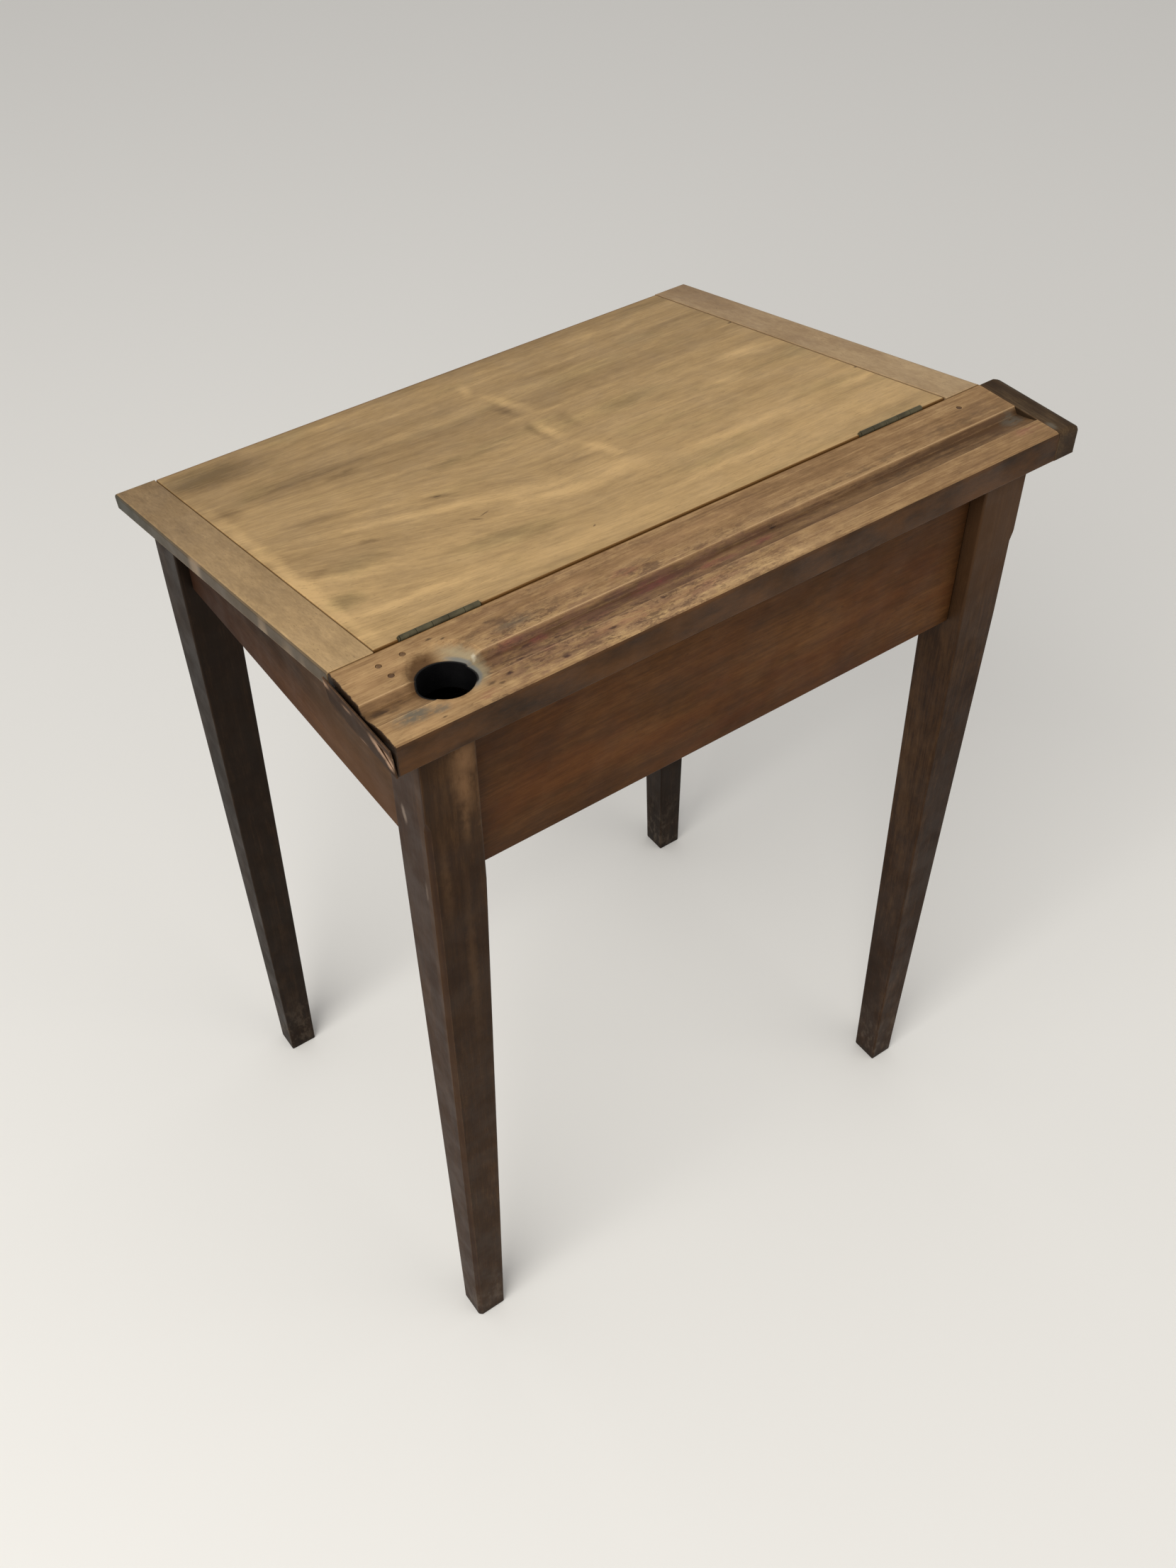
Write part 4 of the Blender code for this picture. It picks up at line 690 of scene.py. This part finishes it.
def rail_material():
    """A long board with a pen groove, soaked with years of ink round its hole."""
    wood = Wood("rail_wood", RAIL_SPECULAR)
    plane = wood.plane(wood.x, wood.y, *RAIL_BROAD_SHAKE)
    fine_plane = wood.plane(wood.x, wood.y, *RAIL_FINE_SHAKE)
    wood.lay("x", RAIL_TONES, rail_zones(wood), shift=(5, 2, 0), contrast=0.75)
    rail_stains(wood, plane)
    wood.shade(wood.marks(fine_plane, RAIL_SPECKS), INK_SPECK)
    rail_cloud(wood)
    rail_freckles(wood)
    for line, amount in RAIL_ARRISES:
        arris = wood.band(wood.y, line, line + ARRIS_WIDTH, soft=0.0004)
        wood.shade(wood.times(arris, wood.smear(0.30, 0.55, 0.01), amount), RAIL_ARRIS)
    ink_rim(wood, fine_plane)
    wood.wear(*RAIL_WORN)
    rail_outside(wood)
    hole_ink_and_shade(wood)
    return wood.close(*RAIL_SURFACE)


# The ink hole's worn rim: where its scoop and its lip are centred from the hole's axis, how far out they
# reach, and between which places they and the black of ink and painted shade in the hole fade in
SCOOP_CENTRE = (-0.0026, -0.0040)
SCOOP_EDGE = (0.0190, 0.0265, 1, 0)
LIP_CENTRE = (-0.0012, -0.0010)
LIP_EDGE = (0.0205, 0.0180)
HOLE_WALL = (0.0184, 0.0174)
HOLE_INK_AND_SHADE_FADE = (TOP_Z - 0.0003, TOP_Z - 0.0012)
RIM_FADE_NEAR = (INK_X - 0.012, INK_X + 0.002)
RIM_FADE_FAR = (INK_X - 0.002, INK_X - 0.018)
LIP_FADE_FAR = (INK_X - 0.006, INK_X - 0.014)
RIM_CHALK_MARKS = ((INK_X - 0.0225, INK_Y - 0.0080, 0.005, 0.003, 60, 0.55),)


def ink_distance(wood, shift_x=0.0, shift_y=0.0):
    """How far a place lies from the ink hole's axis, or from a line beside it."""
    across = wood.math("SUBTRACT", wood.x, INK_X + shift_x)
    along = wood.math("SUBTRACT", wood.y, INK_Y + shift_y)
    return wood.vector("LENGTH", wood.join(across, along, 0))


def ink_rim(wood, fine_plane):
    """The worn rim: brown towards the +X end, chalky towards -X, with a grey-blue lip there."""
    rough = wood.math("MULTIPLY_ADD", wood.noise(wood.mapped([0.004] * 3), 3, 0.6), 0.006, -0.003)
    scoop = wood.ramp(wood.math("ADD", ink_distance(wood, *SCOOP_CENTRE), rough), *SCOOP_EDGE)
    wood.shade(wood.times(scoop, wood.ramp(wood.x, *RIM_FADE_NEAR), 0.90), RIM_BROWN)
    wood.shade(wood.times(scoop, wood.ramp(wood.x, *RIM_FADE_FAR), 0.75), RIM_CHALKY)
    lip = wood.ramp(ink_distance(wood, *LIP_CENTRE), *LIP_EDGE)
    wood.shade(wood.times(lip, wood.ramp(wood.x, *LIP_FADE_FAR), 0.8), RIM_LIP)
    wood.shade(wood.marks(fine_plane, RIM_CHALK_MARKS), RIM_CHALK)


def hole_ink_and_shade(wood):
    """Black inside the hole: old ink that has run down, and painted shade."""
    close = wood.ramp(ink_distance(wood), *HOLE_WALL)
    wood.shade(wood.times(close, wood.ramp(wood.z, *HOLE_INK_AND_SHADE_FADE)), INK_AND_SHADE_BLACK)


def ink_pocket(wood):
    """Black on the walls of the pocket under the hole: painted shade, with ink."""
    inside = 1
    for place, low, high in zip((wood.x, wood.y, wood.z), POCKET_LOW, POCKET_HIGH):
        past_low = wood.math("GREATER_THAN", place, low - POCKET_WALL_REACH)
        below_high = wood.math("LESS_THAN", place, high + POCKET_WALL_REACH)
        inside = wood.times(inside, wood.times(past_low, below_high))
    wood.shade(inside, INK_AND_SHADE_BLACK)


def dark_wood(name, along, tones, shift, contrast=0.8, light=(), dark=()):
    """Old brown varnish over the grain, paler and darker in some places of its back face."""
    wood = Wood(name, VARNISH_SPECULAR)
    base = 0.5
    if light or dark:
        plane = wood.plane(wood.x, wood.z, 0.008, 0.010)
        base = wood.math("MULTIPLY_ADD", wood.marks(plane, light), 0.5, base)
        base = wood.math("MULTIPLY_ADD", wood.marks(plane, dark), -0.5, base)
    wood.lay(along, tones, base, shift, contrast)
    blotch = wood.noise(wood.mapped([0.05] * 3, (2, 3, 1)), 5, 0.6)
    wood.darken(wood.ramp(blotch, 0.45, 0.72, 0, 0.45), VARNISH_BLOTCH)
    wood.shade(wood.times(wood.smear(0.62, 0.70, 0.0012, along, 14), 0.16), tones[2])
    return wood


# Where the near leg is rubbed pale, on its back, and chipped, on its side
LEG_PATCHES = (
    (0.2140, 0.652, 0.022, 0.036, 0, 1.0), (0.2155, 0.632, 0.016, 0.050, -4, 0.9),
    (0.2165, 0.608, 0.008, 0.050, 0, 0.6), (0.2060, 0.618, 0.0050, 0.080, 0, 0.45),
    (0.2330, 0.560, 0.008, 0.090, 0, 0.25), (0.2200, 0.470, 0.008, 0.180, 0, 0.2),
)
LEG_CHIPS = (
    (0.165, 0.603, 0.005, 0.016, 8, 0.45), (0.182, 0.549, 0.003, 0.020, 0, 0.2),
    (0.168, 0.655, 0.004, 0.010, 0, 0.4),
)

# Heights between which a leg changes towards its top (on the front legs, a painted shadow of the lid), is scuffed, and
# takes a painted contact shadow at the floor
LEG_TOP_FADE = (0.50, 0.64)
FOOT_SCUFF_FADE = (0.10, 0.0)
FOOT_FADE = (0.007, 0.002)

# A paler line down the near leg's side, beside its back face
LEG_LINE_BAND = (LEG_BACK_Y - 0.0080, LEG_BACK_Y - 0.0020)


def near_leg_material():
    """The leg under the ink hole, with a painted cool shade on its +X face, and rubbed pale behind."""
    wood = dark_wood("near_leg_wood", "z", NEAR_LEG_TONES, shift=(1, 4, 2), contrast=0.55)
    plane = wood.plane(wood.x, wood.z, 0.007, 0.009)
    rubbed = wood.times(wood.facing("y"), wood.marks(plane, LEG_PATCHES, 1.0))
    rubbed = wood.times(rubbed, wood.smear(0.16, 0.58, 0.008, "z", 2))
    wood.shade(wood.times(rubbed, 0.80), LEG_RUBBED)
    side = wood.facing("x")
    # Painted cool shade over the +X face
    wood.shade(wood.times(side, 0.50), LEG_SIDE_COOL_SHADE)
    wood.shade(wood.times(side, wood.band(wood.y, *LEG_LINE_BAND, soft=0.0012), 0.3), LEG_LINE_BROWN)
    side_plane = wood.plane(wood.y, wood.z, 0.003, 0.006)
    wood.shade(wood.times(side, wood.marks(side_plane, LEG_CHIPS)), LEG_CHIP)
    leg_ends(wood, NEAR_LEG_WORN)
    ink_pocket(wood)
    return wood.close(*LEG_VARNISH)


def leg_ends(wood, worn):
    """Rubbed arrises, dusty scuffs and a painted contact shadow by the floor, and soiling with painted shade where the
    leg meets the box.
    """
    wood.wear(worn, *LEG_RUB)
    scuffed = wood.times(wood.ramp(wood.z, *FOOT_SCUFF_FADE), wood.smear(0.46, 0.66, 0.006, "z", 2))
    wood.shade(wood.times(scuffed, 0.35), FOOT_DUST)
    # Painted contact shadow in the last few millimetres above the floor
    wood.shade(wood.times(wood.ramp(wood.z, *FOOT_FADE), 0.5), FOOT_CONTACT_SHADOW)
    wood.corner_soil_and_shade(*LEG_CORNER_SOIL_AND_SHADE)


def leg_material(name, tones, shift, top_colour, top_share):
    """A leg in plain varnish, darker or paler towards its top; the darker top of the front legs is a painted shadow of
    the lid.
    """
    wood = dark_wood(name, "z", tones, shift, contrast=0.6)
    # Towards the top: a painted shadow of the lid on the front legs, a paler top on the far leg
    wood.shade(wood.ramp(wood.z, *LEG_TOP_FADE, 0, top_share), top_colour)
    leg_ends(wood, tones[2])
    return wood.close(*LEG_VARNISH)


# Paler and darker parts of the back apron, and the heights between which its red fades in
BACK_APRON_LIGHT = ((0.13, 0.585, 0.20, 0.05, 0, 0.35), (-0.06, 0.60, 0.18, 0.03, 0, 0.25))
BACK_APRON_DARK = ((0.0, 0.665, 0.44, 0.03, 0, 0.5), (0.185, 0.65, 0.04, 0.06, 0, 0.5))
BACK_APRON_RED_FADE = (0.67, 0.60)

# Where a side apron turns warmer along z, and darker and paler along y
SIDE_LOW_FADE = (0.61, 0.57)
SIDE_FRONT_FADE = (0.06, -0.12)
SIDE_REAR_FADE = (0.00, 0.09, 0, 0.28)


def back_apron_material():
    """Reddish brown behind the near leg, greyer under the rail."""
    wood = dark_wood("back_apron_wood", "x", BACK_APRON_TONES, shift=(2, 7, 4), contrast=0.7,
                     light=BACK_APRON_LIGHT, dark=BACK_APRON_DARK)
    red = wood.times(wood.smear(0.42, 0.62, 0.03, "x", 3), wood.ramp(wood.z, *BACK_APRON_RED_FADE))
    wood.shade(wood.times(red, 0.35), VARNISH_RED)
    inner_face(wood, "y", -1)
    wood.wear(*BACK_APRON_WORN)
    wood.corner_soil_and_shade(*BACK_APRON_CORNER_SOIL_AND_SHADE)
    ink_pocket(wood)
    return wood.close(*BACK_APRON_VARNISH)


def side_apron_material(name, sign):
    """Mauve brown, warmer towards its lower arris, darker in front and paler beside the rear leg."""
    wood = dark_wood(name, "y", SIDE_APRON_TONES, shift=(6, 1, 3))
    wood.shade(wood.times(wood.ramp(wood.z, *SIDE_LOW_FADE), 0.45), SIDE_LOW_BROWN)
    wood.darken(wood.times(wood.ramp(wood.y, *SIDE_FRONT_FADE), 0.9), SIDE_FRONT_GREY)
    wood.shade(wood.ramp(wood.y, *SIDE_REAR_FADE), SIDE_REAR_PALE)
    inner_face(wood, "x", -sign)
    wood.wear(*SIDE_APRON_WORN)
    wood.corner_soil_and_shade(*SIDE_APRON_CORNER_SOIL_AND_SHADE)
    ink_pocket(wood)
    return wood.close(*SIDE_APRON_VARNISH)


def front_apron_material():
    """Plain dark varnish, out of the photograph's sight."""
    wood = dark_wood("front_apron_wood", "x", FRONT_APRON_TONES, shift=(9, 2, 5))
    inner_face(wood, "y", 1)
    wood.wear(*FRONT_APRON_WORN)
    wood.corner_soil_and_shade(*FRONT_APRON_CORNER_SOIL_AND_SHADE)
    return wood.close(*FRONT_APRON_VARNISH)


def inner_face(wood, axis, sign):
    """Leaves the face that looks into the box almost bare."""
    wood.bare(wood.times(wood.facing(axis, sign), 0.9))


# Spilt ink on the bottom board
BOTTOM_STAINS = ((0.10, 0.10, 0.05, 0.04, 20, 0.8), (-0.08, 0.02, 0.03, 0.03, 0, 0.6),
                 (-0.14, -0.09, 0.02, 0.02, 0, 0.8))


def raw_material(name, along, shift, stains=()):
    """Wood that was never varnished, browned and dusty."""
    wood = Wood(name, BARE_SPECULAR)
    wood.lay(along, BARE_TONES, 0.5, shift, contrast=0.9)
    if stains:
        plane = wood.plane(wood.x, wood.y, 0.02, 0.02)
        wood.shade(wood.times(wood.marks(plane, stains), 0.6), BOX_INK)
    wood.shade(wood.times(wood.smear(0.45, 0.7, 0.05, along, 2), 0.3), BOX_DUST)
    wood.wear(*BARE_WORN)
    wood.corner_soil_and_shade(*BARE_CORNER_SOIL_AND_SHADE)
    return wood.close(*UNVARNISHED)


# Dust on the cap's top
CAP_DUST_MARKS = ((RAIL_LOW.x + 0.004, 0.166, 0.010, 0.020, 0, 0.7), (RAIL_LOW.x - 0.002, 0.188, 0.006, 0.010, 0, 0.5))


def cap_material():
    """The dark rounded block that closes the rail at -X."""
    wood = dark_wood("cap_wood", "y", CAP_TONES, shift=(4, 4, 4))
    plane = wood.plane(wood.x, wood.y, 0.003, 0.004)
    wood.shade(wood.times(wood.marks(plane, CAP_DUST_MARKS), wood.facing("z")), CAP_DUST)
    wood.wear(*CAP_WORN)
    wood.corner_soil_and_shade(*CAP_CORNER_SOIL_AND_SHADE)
    return wood.close(*CAP_VARNISH)


# Chips to bare wood on the facing's outer face, counted down from its top
FACING_TOP = FACING_HIGH.z
FACING_CHIPS = (
    (0.185, FACING_TOP - 0.0095, 0.024, 0.009, -18, 0.85), (0.193, FACING_TOP - 0.014, 0.010, 0.010, -40, 0.9),
    (0.150, FACING_TOP - 0.006, 0.012, 0.003, 0, 0.35), (0.124, FACING_TOP - 0.004, 0.016, 0.006, 0, 0.6),
    (0.161, FACING_TOP - 0.022, 0.012, 0.003, 10, 0.3),
)

# Painted shadow in the gap between the facing and the rail, across the facing's top
FACING_GAP_FADE = (FACING_LOW.x + 0.0020, FACING_LOW.x + 0.0008)


def facing_material():
    """The loose facing at the rail's near end, scuffed and chipped to bare wood."""
    wood = dark_wood("facing_wood", "y", FACING_TONES, shift=(8, 3, 1))
    plane = wood.plane(wood.y, wood.z, 0.003, 0.005)
    wood.shade(wood.times(wood.facing("x"), wood.marks(plane, FACING_CHIPS)), FACING_CHIP)
    # Painted shadow in the gap along the facing's inner top edge
    wood.shade(wood.times(wood.facing("z"), wood.ramp(wood.x, *FACING_GAP_FADE)), FACING_GAP_SHADOW)
    wood.wear(*FACING_WORN)
    wood.corner_soil_and_shade(*FACING_CORNER_SOIL_AND_SHADE)
    return wood.close(*FACING_VARNISH)


def metal_material(name, tones, roughness, metallic):
    """Dull metal, browned by age and rubbed brighter on its edges."""
    dark, light = tones
    shader = Shader(name, METAL_SPECULAR)
    shader.principled.inputs["Metallic"].default_value = metallic
    mottled = shader.noise(shader.mapped([0.014] * 3), 4, 0.6)
    brushed = shader.noise(shader.mapped((0.010, 0.0007, 0.0007)), 3, 0.6)
    colour = shader.mix(shader.ramp(mottled, 0.38, 0.64), dark, light)
    edge = shader.times(shader.worn_edge(0.0006, 0.05, 0.4), 0.6)
    colour = shader.mix(edge, colour, light)
    shader.link(colour, shader.principled.inputs["Base Color"])
    shader.link(shader.ramp(mottled, 0.3, 0.7, roughness, roughness + 0.18), shader.principled.inputs["Roughness"])
    shader.bump(brushed, 0.10, 0.0001)
    return shader.material


def dress(node, material):
    """Gives every slot of a node one material."""
    piece = frame["nodes"][node]
    if not piece.material_slots:
        piece.data.materials.append(None)
    for slot in piece.material_slots:
        slot.material = material


def dress_desk():
    """Gives each node the first look whose name it starts with, and the screws their own."""
    iron = metal_material("nail_iron", NAIL_IRON, roughness=0.65, metallic=0.1)
    steel = metal_material("hinge_steel", HINGE_STEEL, roughness=0.5, metallic=0.45)
    screw = metal_material("screw_steel", SCREW_STEEL, roughness=0.38, metallic=0.8)
    looks = {
        "leg_back_right": near_leg_material(),
        "leg_back_left": leg_material("far_leg_wood", FAR_LEG_TONES, (3, 8, 1), FAR_LEG_TOP, 0.6),
        # The front legs: tones darkened with painted shade, and a painted shadow of the lid at their tops
        "leg_front": leg_material("front_leg_wood", FRONT_LEG_SHADED_TONES, (5, 5, 5), FRONT_LEG_LID_SHADOW, 0.2),
        "apron_back": back_apron_material(),
        "apron_front": front_apron_material(),
        "apron_left": side_apron_material("left_apron_wood", -1),
        "apron_right": side_apron_material("right_apron_wood", 1),
        "ledger": raw_material("ledger_wood", "x", (1, 1, 6)),
        "bottom_board": raw_material("bottom_wood", "x", (2, 6, 1), BOTTOM_STAINS),
        "lid_batten": raw_material("batten_wood", "y", (6, 2, 2)),
        "lid_panel": lid_material(),
        "strip_left": strip_material("left_strip_wood", LEFT_STRIP_TONES, (4, 1, 1), -1, LEFT_STRIP_FRONT_TONE),
        "strip_right": strip_material("right_strip_wood", RIGHT_STRIP_TONES, (1, 6, 2), 1, RIGHT_STRIP_FRONT_TONE),
        "pen_rail": rail_material(),
        "rail_end_cap": cap_material(),
        "rail_end_facing": facing_material(),
        "rail_nail": iron,
        "hinge": steel,
    }
    for node in frame["nodes"]:
        if "screw" in node:
            dress(node, screw)
        else:
            dress(node, next(look for start, look in looks.items() if node.startswith(start)))


def make_camera():
    """The photograph's camera, solved from the desk's edges and feet."""
    data = bpy.data.cameras.new("camera")
    data.sensor_fit = "VERTICAL"
    data.sensor_height = SENSOR_HEIGHT
    data.lens = FOCAL_LENGTH
    camera = bpy.data.objects.new("camera", data)
    camera.location = CAMERA_PLACE
    camera.rotation_euler = CAMERA_TURN
    bpy.context.scene.collection.objects.link(camera)
    bpy.context.scene.camera = camera


def make_floor():
    """A pale floor, which throws back less light on the desk than it shows."""
    bpy.ops.mesh.primitive_plane_add(size=FLOOR_WIDTH)
    floor = bpy.context.object
    floor.name = "floor"
    shader = Shader("floor_plain", FLOOR_SPECULAR)
    path = shader.new("ShaderNodeLightPath")
    seen = shader.math("MAXIMUM", path.outputs["Is Camera Ray"], path.outputs["Is Glossy Ray"])
    seen = shader.math("MAXIMUM", seen, path.outputs["Is Transmission Ray"])
    shader.link(shader.mix(seen, FLOOR_THROWN, FLOOR_SHOWN), shader.principled.inputs["Base Color"])
    shader.principled.inputs["Roughness"].default_value = FLOOR_ROUGHNESS
    floor.data.materials.append(shader.material)


def make_light():
    """Even light all round, a broad window lamp from +X and a weaker one from behind."""
    world = bpy.data.worlds.new("world")
    world.use_nodes = True
    bpy.context.scene.world = world
    background = world.node_tree.nodes["Background"]
    background.inputs["Color"].default_value = SURROUND_COLOUR
    background.inputs["Strength"].default_value = SURROUND_STRENGTH
    for name, place, size, power, colour in LAMPS:
        data = bpy.data.lights.new(name, "AREA")
        data.size = size
        data.energy = power
        data.color = colour
        lamp = bpy.data.objects.new(name, data)
        lamp.location = place
        lamp.rotation_euler = (LAMP_AIM - Vector(place)).to_track_quat("-Z", "Y").to_euler()
        bpy.context.scene.collection.objects.link(lamp)


make_camera()
make_floor()
make_light()
dress_desk()
bpy.context.scene.view_settings.view_transform = "Standard"
